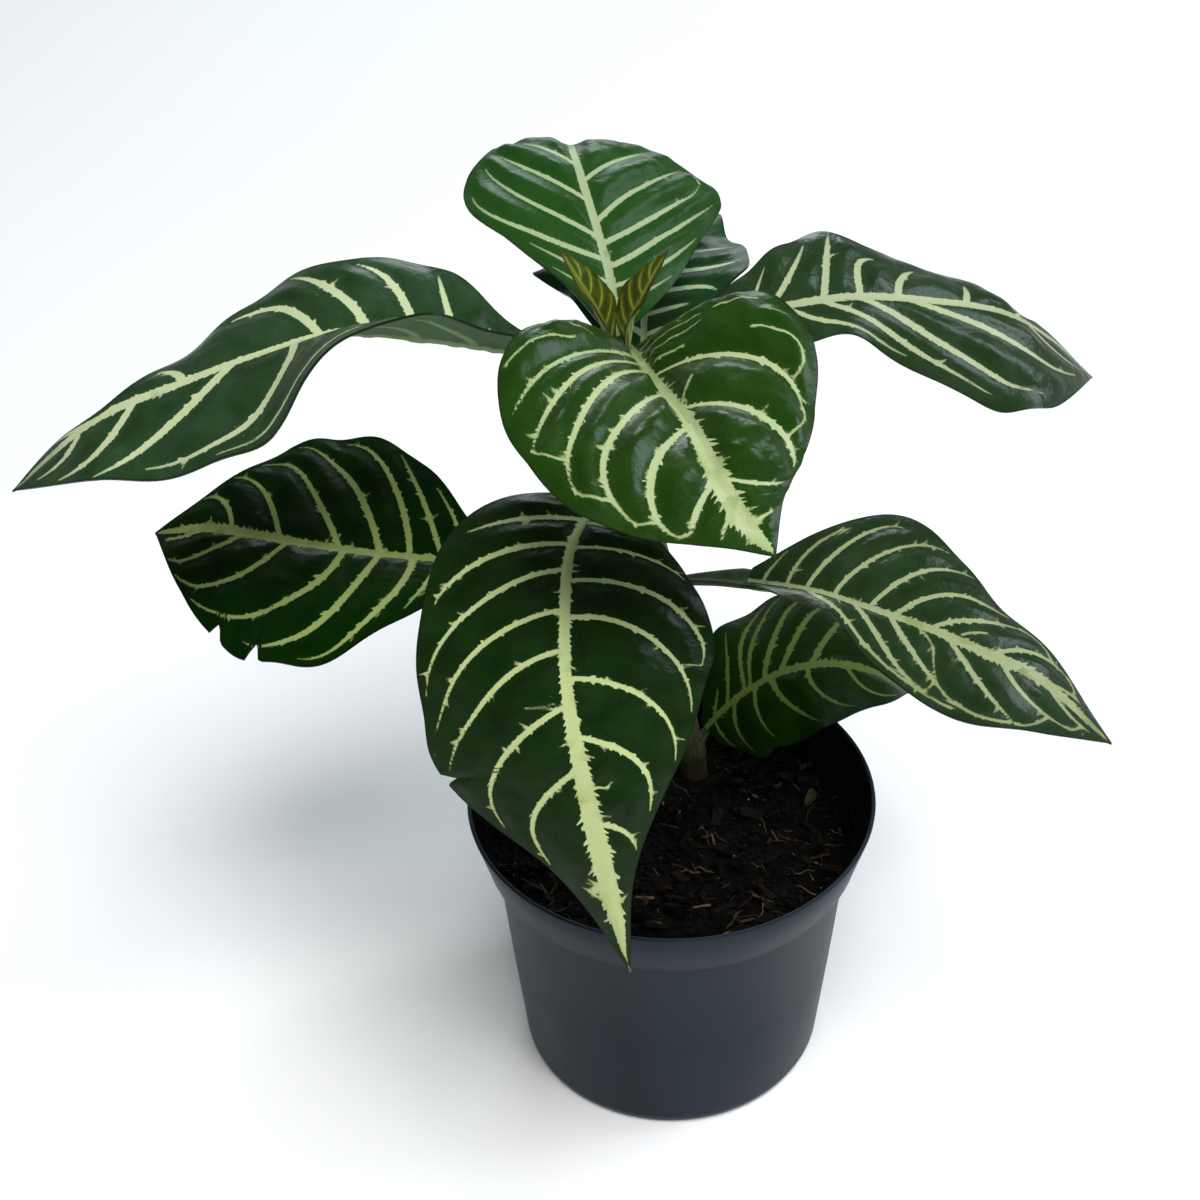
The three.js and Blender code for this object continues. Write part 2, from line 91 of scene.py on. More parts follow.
bpy.ops.object.select_all(action="DESELECT")
bpy.ops.mesh.primitive_plane_add(size=FLOOR_SIZE, location=(0, 0, FLOOR_LEVEL))
floor = bpy.context.object
floor.name = "studio_floor"

# Uncoated paper: matt, with hardly any highlight.
paper, tree = new_material("white_backdrop_paper")
surface = add_node(tree, "BsdfPrincipled", {"Base Color": linear("#fbfbfb"), "Roughness": 0.9,
                                            "Specular IOR Level": 0.1})
add_node(tree, "OutputMaterial", {"Surface": surface})
floor.data.materials.append(paper)

world = bpy.data.worlds.new("soft_white_room")
bpy.context.scene.world = world
world.use_nodes = True
world.node_tree.nodes.clear()
tree = world.node_tree
upwards = add_node(tree, "SeparateXYZ", {"Vector": add_node(tree, "TexCoord").outputs["Generated"]})
glow = add_node(tree, "MapRange", {"Value": upwards.outputs["Z"], "From Min": 0.1, "From Max": 0.5,
                                   "To Min": 0.6, "To Max": 0.12})
room = add_node(tree, "Background", {"Color": linear("#eef1f4"), "Strength": glow})
add_node(tree, "OutputWorld", {"Surface": room})

for name, place, size, power, colour in [
    ("light_key", (0.29, -0.79, 1.99), 1.0, 44, "#ffffff"),
    ("light_cool_right", (1.45, 0.4, 1.5), 0.9, 17, "#dfeaf8"),
    ("light_window", (0, 1.67, 0.92), 0.7, 8, "#e0eeee"),
]:
    bpy.ops.object.light_add(type="AREA", location=place)
    light = bpy.context.object
    light.name = name
    light.data.energy = power
    light.data.size = size
    light.data.color = linear(colour)[:3]
    light.visible_glossy = name != "light_key"
    aim(light, (0, 0, 180 * MM))

away = Vector((0, -math.cos(CAMERA_ELEVATION), math.sin(CAMERA_ELEVATION)))
bpy.ops.object.camera_add(location=LOOKED_AT + away * CAMERA_DISTANCE)
camera = bpy.context.object
camera.name = "camera"
aim(camera, LOOKED_AT)
camera.data.lens = LENS
camera.data.sensor_width = 36
camera.data.shift_x = SIDE_SHIFT
camera.data.clip_start = 0.01
bpy.context.scene.camera = camera
bpy.context.scene.view_settings.view_transform = "Standard"

# ---------------------------------------------------------------- pot
# A squat nursery pot, injection moulded in dark slate polypropylene. The wall is 1.5 mm, with a
# deeper band under the lip that stiffens it, and eight holes in its floor let the water out.

POT_HEIGHT = 102
POT_RIM = 65
POT_WALL = 1.5
POT_BASE = 50.3
POT_FLOOR = 2
BAND_FOOT = 84
BAND_FOOT_RADIUS = 60.4
BAND_STEP = 3.2
BASE_ROUNDING = 4
LIP_ROUNDING = 0.7
DRAIN_HOLES = 8
DRAIN_RADIUS = 4
DRAIN_CIRCLE = 38
POT_SIDES = 160
WALL_RING = 40
BAND_RING = 93


def pot_radius(height):
    """The outside of the pot's wall at a height, in mm."""
    if height > BAND_FOOT:
        risen, full = height - BAND_FOOT, POT_HEIGHT - BAND_FOOT
        return BAND_FOOT_RADIUS + (POT_RIM - BAND_FOOT_RADIUS) * risen / full
    return POT_BASE + (BAND_FOOT_RADIUS - BAND_STEP - POT_BASE) * height / BAND_FOOT


def arc(radius, height, size, start, end, steps):
    """Outline points round a corner: its centre, its size and its angles in degrees."""
    angles = [math.radians(start + (end - start) * i / steps) for i in range(steps + 1)]
    return [(radius + size * math.cos(a), height + size * math.sin(a)) for a in angles]


def extruded_round(name, outline, sides):
    """A turned solid. A disc is extruded ring by ring along an outline of (radius, height) in mm."""
    bpy.ops.object.select_all(action="DESELECT")
    radius, height = outline[0]
    bpy.ops.mesh.primitive_circle_add(vertices=sides, radius=radius * MM, fill_type="NGON",
                                      location=(0, 0, height * MM))
    made = bpy.context.object
    made.name = name
    bpy.ops.object.transform_apply(location=True, rotation=False, scale=False)
    bpy.ops.object.mode_set(mode="EDIT")
    bpy.ops.mesh.select_all(action="SELECT")
    for next_radius, next_height in outline[1:]:
        grow = next_radius / radius
        bpy.ops.mesh.extrude_region_move(
            TRANSFORM_OT_translate={"value": (0, 0, (next_height - height) * MM)})
        bpy.ops.transform.resize(value=(grow, grow, 1), center_override=(0, 0, next_height * MM))
        radius, height = next_radius, next_height
    bpy.ops.mesh.select_all(action="SELECT")
    bpy.ops.mesh.normals_make_consistent(inside=False)
    bpy.ops.object.mode_set(mode="OBJECT")
    return made


def inner_radius(height):
    """The inside of the pot's wall at a height, in mm."""
    return pot_radius(height) - POT_WALL


# The outline runs from the foot up the outside, over the lip and down the inside to the floor.
pot = extruded_round("nursery_pot", [
    *arc(POT_BASE - BASE_ROUNDING, BASE_ROUNDING, BASE_ROUNDING, -90, 0, 6),
    (pot_radius(WALL_RING), WALL_RING),
    (pot_radius(BAND_FOOT - 1.6), BAND_FOOT - 1.6),
    (pot_radius(BAND_FOOT - 1) + 0.2, BAND_FOOT - 1),
    (BAND_FOOT_RADIUS - 0.4, BAND_FOOT - 0.2),
    (BAND_FOOT_RADIUS + 0.1, BAND_FOOT + 0.5),
    (pot_radius(BAND_RING), BAND_RING),
    *arc(POT_RIM - LIP_ROUNDING, POT_HEIGHT - LIP_ROUNDING, LIP_ROUNDING, 0, 180, 8),
    (inner_radius(BAND_FOOT + 3), BAND_FOOT + 3),
    (inner_radius(BAND_FOOT - 2), BAND_FOOT - 2),
    (inner_radius(WALL_RING), WALL_RING),
    (inner_radius(POT_FLOOR + 3), POT_FLOOR + 3),
    (inner_radius(POT_FLOOR) - 3, POT_FLOOR),
], POT_SIDES)
for i in range(DRAIN_HOLES):
    angle = (i + 0.5) * 2 * math.pi / DRAIN_HOLES
    bpy.ops.object.select_all(action="DESELECT")
    bpy.ops.mesh.primitive_cylinder_add(
        vertices=32, radius=DRAIN_RADIUS * MM, depth=8 * MM,
        location=(DRAIN_CIRCLE * MM * math.cos(angle), DRAIN_CIRCLE * MM * math.sin(angle), 0))
    drill = bpy.context.object
    bpy.context.view_layer.objects.active = pot
    cut = pot.modifiers.new("drain_hole", "BOOLEAN")
    cut.operation = "DIFFERENCE"
    cut.object = drill
    bpy.ops.object.modifier_apply(modifier=cut.name)
    bpy.data.objects.remove(drill)
bpy.ops.object.select_all(action="DESELECT")
pot.select_set(True)
bpy.ops.object.shade_smooth_by_angle(angle=math.radians(32))

# Moulded polypropylene: even slate grey with a satin skin and faint flow marks down the wall, so
# its reflections are broad and slightly uneven. The inside of the wall is darkened to near-black:
# painted shade.
moulded, tree = new_material("polypropylene_moulded_slate")
here = add_node(tree, "TexCoord").outputs["Object"]
flow = add_node(tree, "Mapping", {"Vector": here, "Scale": (1, 1, 0.12)})
streaks = add_node(tree, "TexNoise", {"Vector": flow, "Scale": 45, "Detail": 3})
grain = add_node(tree, "TexNoise", {"Vector": here, "Scale": 2600, "Detail": 2})
tone = add_node(tree, "MapRange", {"Value": streaks, "From Min": 0.3, "From Max": 0.7})
slate = add_node(tree, "Mix", {"Factor": tone, "A": linear("#151e27"), "B": linear("#202a34")},
                 data_type="RGBA")
# Painted shade: faces that look in towards the pot's middle are mixed to near-black.
outwards = add_node(tree, "NewGeometry").outputs["True Normal"]
facing = add_node(tree, "VectorMath", {0: outwards, 1: here}, operation="DOT_PRODUCT")
inside = add_node(tree, "MapRange", {"Value": facing, "From Min": -0.01, "From Max": -0.03})
slate = add_node(tree, "Mix", {"Factor": inside, "A": slate, "B": linear("#080807")},
                 data_type="RGBA")
sheen = add_node(tree, "MapRange", {"Value": streaks, "From Min": 0.3, "From Max": 0.7,
                                    "To Min": 0.36, "To Max": 0.46})
skin = add_node(tree, "Bump", {"Height": grain, "Strength": 0.05, "Distance": 0.0004})
surface = add_node(tree, "BsdfPrincipled", {"Base Color": slate, "Roughness": sheen,
                                            "Normal": skin, "Specular IOR Level": 0.09})
add_node(tree, "OutputMaterial", {"Surface": surface})
pot.data.materials.append(moulded)
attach(pot, "root")
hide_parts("pot")

# ---------------------------------------------------------------- potting mix
# Moist peat and composted bark, filled to about 15 mm under the lip and a little proud round the
# stem. Crumbs, bark chips, plant fibres, red-brown fragments and pale grit lie loose on top, with
# one dry scrap of leaf.

SOIL_LEVEL = 87
SOIL_MOUND = 5
MOUND_REACH = 22
SOIL_LUMP = 1.6
SMALLEST_LUMP = 5
LUMP_RANGE = 7
SOIL_SEED = 41
SOIL_GRID = 110
SOIL_LUMPS = 26
LITTER_SINK = 0.3
LITTER_TILT = 0.35
STEM_LINE = [(9, 21, 58), (8, 20, 88), (5, 18, 110), (0, 16, 143), (-3, 14, 176),
             (-9, 11, 212), (-12, 9, 243), (-14, 8, 259)]
SOIL_EDGE = inner_radius(SOIL_LEVEL) - 0.35
LITTER_EDGE = SOIL_EDGE - 2


def draws(seed):
    """Repeatable numbers between 0 and 1, in the order that the solid soil was lumped with."""
    state = seed
    while True:
        state = (state * 1664525 + 1013904223) % 4294967296
        yield state / 4294967296


draw = draws(SOIL_SEED)
lumps = []
for _ in range(SOIL_LUMPS):
    reach = math.sqrt(next(draw)) * (BAND_FOOT_RADIUS - BAND_STEP)
    turn = next(draw) * 2 * math.pi
    size = SMALLEST_LUMP + LUMP_RANGE * next(draw)
    height = SOIL_LUMP * (2 * next(draw) - 0.8)
    lumps.append((reach * math.cos(turn), reach * math.sin(turn), size, height))


def soil_height(x, y):
    """The height of the soil's surface at a place in the pot, in mm, without its crumbs."""
    inward = 1 - min(math.hypot(x, y) / SOIL_EDGE, 1) ** 6
    foot_x, foot_y = STEM_LINE[1][:2]
    rise = SOIL_MOUND * math.exp(-((x - foot_x) ** 2 + (y - foot_y) ** 2) / MOUND_REACH ** 2)
    for lump_x, lump_y, size, height in lumps:
        rise += height * math.exp(-((x - lump_x) ** 2 + (y - lump_y) ** 2) / size ** 2)
    return SOIL_LEVEL + inward * rise


def get_points(thing):
    """The places of a mesh's points, one row each."""
    flat = np.empty(len(thing.data.vertices) * 3)
    thing.data.vertices.foreach_get("co", flat)
    return flat.reshape(-1, 3)


def set_points(thing, points):
    """Moves a mesh's points to new places."""
    thing.data.vertices.foreach_set("co", np.ascontiguousarray(points, float).ravel())
    thing.data.update()


bpy.ops.object.select_all(action="DESELECT")
bpy.ops.mesh.primitive_grid_add(x_subdivisions=SOIL_GRID, y_subdivisions=SOIL_GRID, size=2)
soil = bpy.context.object
soil.name = "potting_mix"
points = get_points(soil)
square_x, square_y = points[:, 0].copy(), points[:, 1].copy()
points[:, 0] = square_x * np.sqrt(1 - square_y ** 2 / 2) * SOIL_EDGE
points[:, 1] = square_y * np.sqrt(1 - square_x ** 2 / 2) * SOIL_EDGE
for point in points:
    coarse = noise.fractal(Vector((point[0], point[1], 3)) * 0.22, 0.7, 2.1, 3)
    fine = noise.fractal(Vector((point[0], point[1], 9)) * 0.8, 0.6, 2.2, 3)
    inside = 1 - min(math.hypot(point[0], point[1]) / SOIL_EDGE, 1) ** 8
    point[2] = soil_height(point[0], point[1]) + inside * (0.9 * coarse + 0.7 * fine)
set_points(soil, points * MM)

# Its edge is drawn down the wall ring by ring, and a flat underside closes it.
bpy.ops.object.mode_set(mode="EDIT")
bpy.ops.mesh.select_all(action="DESELECT")
bpy.ops.mesh.select_non_manifold()
for drop, radius in [(-7, inner_radius(80) - 0.6), (-40, inner_radius(40) - 0.4),
                     (-SOIL_LEVEL + POT_FLOOR + 0.4, inner_radius(POT_FLOOR) - 3.4)]:
    bpy.ops.mesh.extrude_region_move(
        TRANSFORM_OT_translate={"value": (0, 0, (SOIL_LEVEL + drop) * MM - soil.data.vertices[0].co.z)})
    bpy.ops.object.mode_set(mode="OBJECT")
    flat = np.array([v.select for v in soil.data.vertices])
    points = get_points(soil)
    around = np.hypot(points[flat, 0], points[flat, 1])
    points[flat, :2] *= (radius * MM / around)[:, None]
    points[flat, 2] = (SOIL_LEVEL + drop) * MM
    set_points(soil, points)
    bpy.ops.object.mode_set(mode="EDIT")
bpy.ops.mesh.edge_face_add()
bpy.ops.mesh.select_all(action="SELECT")
bpy.ops.mesh.normals_make_consistent(inside=False)
bpy.ops.object.mode_set(mode="OBJECT")
bpy.ops.object.shade_smooth_by_angle(angle=math.radians(40))

# Peat holds water, so it is nearly black and matt with brown where the bark shows, and its
# crumbs of 0.5 to 3 mm break up the surface.
peat, tree = new_material("potting_mix_peat_and_bark")
here = add_node(tree, "TexCoord").outputs["Object"]
clods = add_node(tree, "TexNoise", {"Vector": here, "Scale": 260, "Detail": 5, "Roughness": 0.65})
grit = add_node(tree, "TexVoronoi", {"Vector": here, "Scale": 620})
damp = add_node(tree, "MapRange", {"Value": clods, "From Min": 0.38, "From Max": 0.68})
brown = add_node(tree, "Mix", {"Factor": damp, "A": linear("#020202"), "B": linear("#0d0a08")},
                 data_type="RGBA")
rough = add_node(tree, "Math", {0: clods, 1: grit}, operation="SUBTRACT")
lumpy = add_node(tree, "Bump", {"Height": rough, "Strength": 0.8, "Distance": 0.0012})
surface = add_node(tree, "BsdfPrincipled", {"Base Color": brown, "Roughness": 0.9, "Normal": lumpy,
                                            "Specular IOR Level": 0.12})
add_node(tree, "OutputMaterial", {"Surface": surface})
soil.data.materials.append(peat)
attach(soil, "root")
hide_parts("soil")


def litter_material(name, dark, light, roughness):
    """Loose matter whose colour runs from dark to light by each copy's own shade."""
    material, tree = new_material(name)
    shade = add_node(tree, "Attribute", attribute_name="shade").outputs["Fac"]
    here = add_node(tree, "TexCoord").outputs["Object"]
    mottle = add_node(tree, "TexNoise", {"Vector": here, "Scale": 900, "Detail": 3})
    mixed = add_node(tree, "Math", {0: shade, 1: mottle}, operation="MULTIPLY")
    colour = add_node(tree, "Mix", {"Factor": mixed, "A": linear(dark), "B": linear(light)},
                      data_type="RGBA")
    surface = add_node(tree, "BsdfPrincipled", {"Base Color": colour, "Roughness": roughness,
                                                "Specular IOR Level": 0.15})
    add_node(tree, "OutputMaterial", {"Surface": surface})
    return material


def scatter(name, shapes, count, seed, sizes, material):
    """Lays copies of a few modelled shapes over the soil as one piece, each with its own turn."""
    rng = np.random.default_rng(seed)
    all_points, all_faces, shades = [], [], []
    for _ in range(count):
        points, faces = shapes[rng.integers(len(shapes))]
        size = rng.uniform(*sizes)
        turn = rng.uniform(0, 2 * math.pi)
        tip, roll = rng.normal(0, LITTER_TILT), rng.normal(0, LITTER_TILT)
        reach = math.sqrt(rng.uniform(0, 1)) * LITTER_EDGE
        bearing = rng.uniform(0, 2 * math.pi)
        x, y = reach * math.cos(bearing), reach * math.sin(bearing)
        moved = points * size
        for angle, first, second in ((roll, 1, 2), (tip, 0, 2), (turn, 0, 1)):
            a, b = moved[:, first].copy(), moved[:, second].copy()
            moved[:, first] = a * math.cos(angle) - b * math.sin(angle)
            moved[:, second] = a * math.sin(angle) + b * math.cos(angle)
        away = np.hypot(moved[:, 0] + x, moved[:, 1] + y).max()
        if away > SOIL_EDGE:
            x, y = x * LITTER_EDGE / away * 0.9, y * LITTER_EDGE / away * 0.9
        lowest, highest = moved[:, 2].min(), moved[:, 2].max()
        lift = soil_height(x, y) - lowest - LITTER_SINK * (highest - lowest)
        start = sum(len(p) for p in all_points)
        all_points.append(moved + (x, y, lift))
        all_faces.extend(tuple(start + i for i in face) for face in faces)
        shades.extend([rng.uniform(0, 1)] * len(points))
    mesh = bpy.data.meshes.new(name)
    mesh.from_pydata((np.concatenate(all_points) * MM).tolist(), [], all_faces)
    mesh.attributes.new("shade", "FLOAT", "POINT").data.foreach_set("value", shades)
    made = bpy.data.objects.new(name, mesh)
    bpy.context.scene.collection.objects.link(made)
    mesh.materials.append(material)
    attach(made, "root")


def taken(thing):
    """The points and faces of a modelled shape, whose object is then removed."""
    shape = (get_points(thing), [tuple(face.vertices) for face in thing.data.polygons])
    bpy.data.objects.remove(thing)
    return shape


def crumb(seed):
    """A lump of peat or grit about one unit across: a ball, swollen unevenly and flattened."""
    bpy.ops.object.select_all(action="DESELECT")
    bpy.ops.mesh.primitive_ico_sphere_add(subdivisions=2, radius=0.5)
    made = bpy.context.object
    rng = np.random.default_rng(seed)
    shift = Vector(rng.uniform(0, 50, 3))
    points = get_points(made)
    swell = np.array([1 + 0.55 * noise.noise(Vector(p) * 3 + shift) for p in points])
    set_points(made, points * swell[:, None] * (1, rng.uniform(0.65, 0.95), rng.uniform(0.5, 0.8)))
    return taken(made)


def chip(seed, width, thickness):
    """A split piece of bark one unit long: a box, roughened and bent, with its ends broken off askew."""
    bpy.ops.object.select_all(action="DESELECT")
    bpy.ops.mesh.primitive_cube_add(size=1)
    made = bpy.context.object
    bpy.ops.object.mode_set(mode="EDIT")
    bpy.ops.mesh.subdivide(number_cuts=1)
    bpy.ops.object.mode_set(mode="OBJECT")
    rng = np.random.default_rng(seed)
    points = get_points(made) * (1, width, thickness)
    points += rng.uniform(-1, 1, points.shape) * (0.09, 0.16 * width, 0.22 * thickness)
    points[:, 2] += 0.12 * points[:, 0] ** 2 * rng.uniform(-1, 1)
    set_points(made, points)
    return taken(made)


def fibre(seed, thickness):
    """A strand one unit long, square in section, bowed and kinked along its length."""
    bpy.ops.object.select_all(action="DESELECT")
    bpy.ops.mesh.primitive_cube_add(size=1)
    made = bpy.context.object
    bpy.ops.object.mode_set(mode="EDIT")
    bpy.ops.mesh.select_mode(type="EDGE")
    bpy.ops.object.mode_set(mode="OBJECT")
    for edge in made.data.edges:
        ends = [made.data.vertices[i].co.x for i in edge.vertices]
        edge.select = ends[0] * ends[1] < 0
    bpy.ops.object.mode_set(mode="EDIT")
    bpy.ops.mesh.subdivide(number_cuts=9)
    bpy.ops.object.mode_set(mode="OBJECT")
    rng = np.random.default_rng(seed)
    points = get_points(made)
    along = points[:, 0].copy()
    taper = 1 - 0.6 * (2 * np.abs(along)) ** 3
    points[:, 1:] *= (thickness * taper)[:, None]
    bow, kink, phase = rng.uniform(-0.35, 0.35), rng.uniform(0.02, 0.06), rng.uniform(0, 6)
    points[:, 1] += bow * (along ** 2 - 0.25) + kink * np.sin(9 * along + phase)
    points[:, 2] += 0.10 * (0.25 - along ** 2) + 0.02 * np.sin(13 * along + phase)
    set_points(made, points)
    return taken(made)


# Composted bark is nearly black, fresher fibres and slivers are tan, a few flakes and fibres are
# red-brown like inner bark, and the grit is pale stone. All of it is matt.
crumbs = [crumb(seed) for seed in range(5)]
chips = [chip(10 + i, width, thickness) for i, (width, thickness) in enumerate(
    [(0.4, 0.18), (0.28, 0.14), (0.55, 0.2), (0.35, 0.25)])]
slivers = [chip(20 + i, width, 0.07) for i, width in enumerate([0.12, 0.18, 0.09])]
fibres = [fibre(30 + i, thickness) for i, thickness in enumerate([0.02, 0.035, 0.05, 0.028])]

dark_bark = litter_material("composted_bark_dark", "#050403", "#1c1510", 0.88)
tan_bark = litter_material("bark_fibre_tan", "#15100b", "#7d6a4e", 0.8)
red_bark = litter_material("bark_flake_red_brown", "#180b08", "#4f241b", 0.8)
pale_grit = litter_material("pale_mineral_grit", "#3a322a", "#a89a88", 0.8)
scatter("peat_crumbs_fine", crumbs, 900, 1, (0.6, 1.8), dark_bark)
scatter("peat_crumbs_coarse", crumbs, 260, 2, (1.6, 3.4), dark_bark)
scatter("bark_chips_dark", chips, 150, 3, (3, 7.5), dark_bark)
scatter("bark_slivers_tan", slivers, 90, 4, (2.5, 7), tan_bark)
scatter("bark_flakes_red", chips, 10, 5, (1.5, 3.5), red_bark)
scatter("root_fibres_tan", fibres, 120, 6, (4, 11), tan_bark)
scatter("root_fibres_red", fibres, 14, 7, (4, 9), red_bark)
scatter("grit_pale", crumbs, 90, 8, (0.4, 0.9), pale_grit)

# One dry scrap of leaf lies on the mix at the right, 6 mm long, cupped and faded to dull olive.
SCRAP_X, SCRAP_Y = 45.5, 11
SCRAP_THICKNESS = 0.25
bpy.ops.object.select_all(action="DESELECT")
bpy.ops.mesh.primitive_grid_add(x_subdivisions=10, y_subdivisions=6, size=2)
scrap = bpy.context.object
scrap.name = "dry_leaf_scrap"
points = get_points(scrap)
along, across = points[:, 0].copy(), points[:, 1].copy()
narrowing = np.sqrt(np.maximum(1 - along ** 2, 0.01))
points[:, 0] = 3.1 * along
points[:, 1] = 1.5 * across * narrowing + 0.5 * along ** 2
points[:, 2] = 0.8 * across ** 2 * narrowing + 0.5 * along ** 2 + 0.6
turned = points.copy()
turned[:, 0] = 0.35 * points[:, 0] - 0.94 * points[:, 1] + SCRAP_X
turned[:, 1] = 0.94 * points[:, 0] + 0.35 * points[:, 1] + SCRAP_Y
turned[:, 2] = points[:, 2] + 0.35 * points[:, 0] + soil_height(SCRAP_X, SCRAP_Y) + 0.9
set_points(scrap, turned * MM)
thick = scrap.modifiers.new("thickness", "SOLIDIFY")
thick.thickness = SCRAP_THICKNESS * MM
bpy.ops.object.modifier_apply(modifier="thickness")
bpy.ops.object.shade_smooth()

# Dried leaf: olive brown in patches, with a dull skin.
dried, tree = new_material("leaf_scrap_dried")
here = add_node(tree, "TexCoord").outputs["Object"]
stained = add_node(tree, "TexNoise", {"Vector": here, "Scale": 500, "Detail": 3})
patch = add_node(tree, "MapRange", {"Value": stained, "From Min": 0.4, "From Max": 0.6})
faded = add_node(tree, "Mix", {"Factor": patch, "A": linear("#201f13"), "B": linear("#35371f")},
                 data_type="RGBA")
surface = add_node(tree, "BsdfPrincipled", {"Base Color": faded, "Roughness": 0.7,
                                            "Specular IOR Level": 0.2})
add_node(tree, "OutputMaterial", {"Surface": surface})
scrap.data.materials.append(dried)
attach(scrap, "root")

# ---------------------------------------------------------------- stem
# One upright, half-woody stem, green-brown and slightly swollen where each pair of leaves leaves
# it. It grows out of the potting mix behind the middle of the pot and leans a little to the left.

STEM_FOOT = 58
STEM_TOP = 259
STEM_RADIUS = 4.6
STEM_TIP_RADIUS = 3.2
NODE_SWELL = 0.7
NODE_LENGTH = 7
STEM_RIDGE = 0.12
LEAF_SCAR = 0.18
STEM_NODES = {"base": 104, "low": 176, "middle": 212, "upper": 243, "top": 254, "tip": 259}


def smooth(values, places, slope=False):
    """A smooth curve through evenly spaced values, or its slope, at places from 0 to 1."""
    values = np.asarray(values, float)
    padded = np.concatenate([[2 * values[0] - values[1]], values, [2 * values[-1] - values[-2]]])
    last = len(values) - 1
    along = np.clip(np.asarray(places, float), 0, 1) * last
    i = np.minimum(along.astype(int), last - 1)
    f = along - i
    if values.ndim > 1:
        f = f[..., None]
    a, b, c, d = (padded[i + step] for step in range(4))
    first, second, third = c - a, 2 * a - 5 * b + 4 * c - d, 3 * b - a - 3 * c + d
    if slope:
        return 0.5 * (first + 2 * second * f + 3 * third * f ** 2)
    return 0.5 * (2 * b + first * f + second * f ** 2 + third * f ** 3)


def unit(vectors):
    """The same directions, each of length one."""
    return vectors / np.linalg.norm(vectors, axis=-1, keepdims=True)


def stem_middle(heights):
    """The middle of the stem at each height."""
    line = smooth(STEM_LINE, np.linspace(0, 1, 1500))
    return np.stack([np.interp(heights, line[:, 2], line[:, axis]) for axis in range(3)], -1)


def stem_radius(heights):
    """The stem's half thickness at each height, swollen at the nodes, in mm."""
    share = np.clip((np.asarray(heights) - SOIL_LEVEL) / (STEM_TOP - SOIL_LEVEL), 0, 1)
    swell = [np.exp(-((heights - node) / (NODE_LENGTH / 2)) ** 2) for node in STEM_NODES.values()]
    return STEM_RADIUS + (STEM_TIP_RADIUS - STEM_RADIUS) * share + NODE_SWELL * np.max(swell, 0)


def rolled_tube(name, rows, sides, place):
    """A grid rolled up into a closed tube. place(row, turn) gives the points of each row, in mm."""
    bpy.ops.object.select_all(action="DESELECT")
    bpy.ops.mesh.primitive_grid_add(x_subdivisions=rows, y_subdivisions=sides, size=2)
    made = bpy.context.object
    made.name = name
    grid = get_points(made)
    row = np.rint((grid[:, 0] + 1) / 2 * rows).astype(int)
    set_points(made, place(row, (grid[:, 1] + 1) * math.pi) * MM)
    bpy.ops.object.mode_set(mode="EDIT")
    bpy.ops.mesh.select_all(action="SELECT")
    bpy.ops.mesh.remove_doubles(threshold=1e-6)
    bpy.ops.mesh.normals_make_consistent(inside=False)
    bpy.ops.object.mode_set(mode="OBJECT")
    bpy.ops.object.shade_smooth()
    return made


stem_rows = np.concatenate([[STEM_FOOT], np.linspace(STEM_FOOT, STEM_TOP, 150), [STEM_TOP]])


def stem_points(row, turn):
    """A round stem with shallow ridges down it and a leaf scar round each node."""
    heights = stem_rows[row]
    radius = stem_radius(heights) + STEM_RIDGE * np.sin(5 * turn + heights / 9)
    for node in STEM_NODES.values():
        radius = radius + LEAF_SCAR * np.exp(-((heights - node + 1.2) / 0.7) ** 2)
    radius = np.where((row == 0) | (row == len(stem_rows) - 1), 0, radius)
    ring = np.stack([radius * np.cos(turn), radius * np.sin(turn), np.zeros(len(row))], -1)
    return stem_middle(heights) + ring


stem = rolled_tube("stem_grown", len(stem_rows) - 1, 32, stem_points)

# Young bark: green-brown with pale lengthways flecks, darker and corky towards the soil.
bark, tree = new_material("stem_bark_half_woody")
here = add_node(tree, "TexCoord").outputs["Object"]
long_way = add_node(tree, "Mapping", {"Vector": here, "Scale": (1, 1, 0.2)})
flecks = add_node(tree, "TexNoise", {"Vector": long_way, "Scale": 900, "Detail": 4})
height = add_node(tree, "SeparateXYZ", {"Vector": here}).outputs["Z"]
age = add_node(tree, "MapRange", {"Value": height, "From Min": 0.085, "From Max": 0.2})
young = add_node(tree, "Mix", {"Factor": age, "A": linear("#271f15"), "B": linear("#4a5a2a")},
                 data_type="RGBA")
pale = add_node(tree, "Mix", {"Factor": age, "A": linear("#3f3524"), "B": linear("#7a7450")},
                data_type="RGBA")
fleck = add_node(tree, "MapRange", {"Value": flecks, "From Min": 0.5, "From Max": 0.72})
coloured = add_node(tree, "Mix", {"Factor": fleck, "A": young, "B": pale}, data_type="RGBA")
ridged = add_node(tree, "Bump", {"Height": flecks, "Strength": 0.4, "Distance": 0.0004})
surface = add_node(tree, "BsdfPrincipled", {"Base Color": coloured, "Roughness": 0.6,
                                            "Normal": ridged})
add_node(tree, "OutputMaterial", {"Surface": surface})
stem.data.materials.append(bark)
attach(stem, "root")
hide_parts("stem")

# ---------------------------------------------------------------- leaves
# Nine grown leaves, thick and leathery, each on a short grooved stalk from a node of the stem. The
# blade is quilted between sunken side veins, and its midrib and veins are marked in ragged cream.

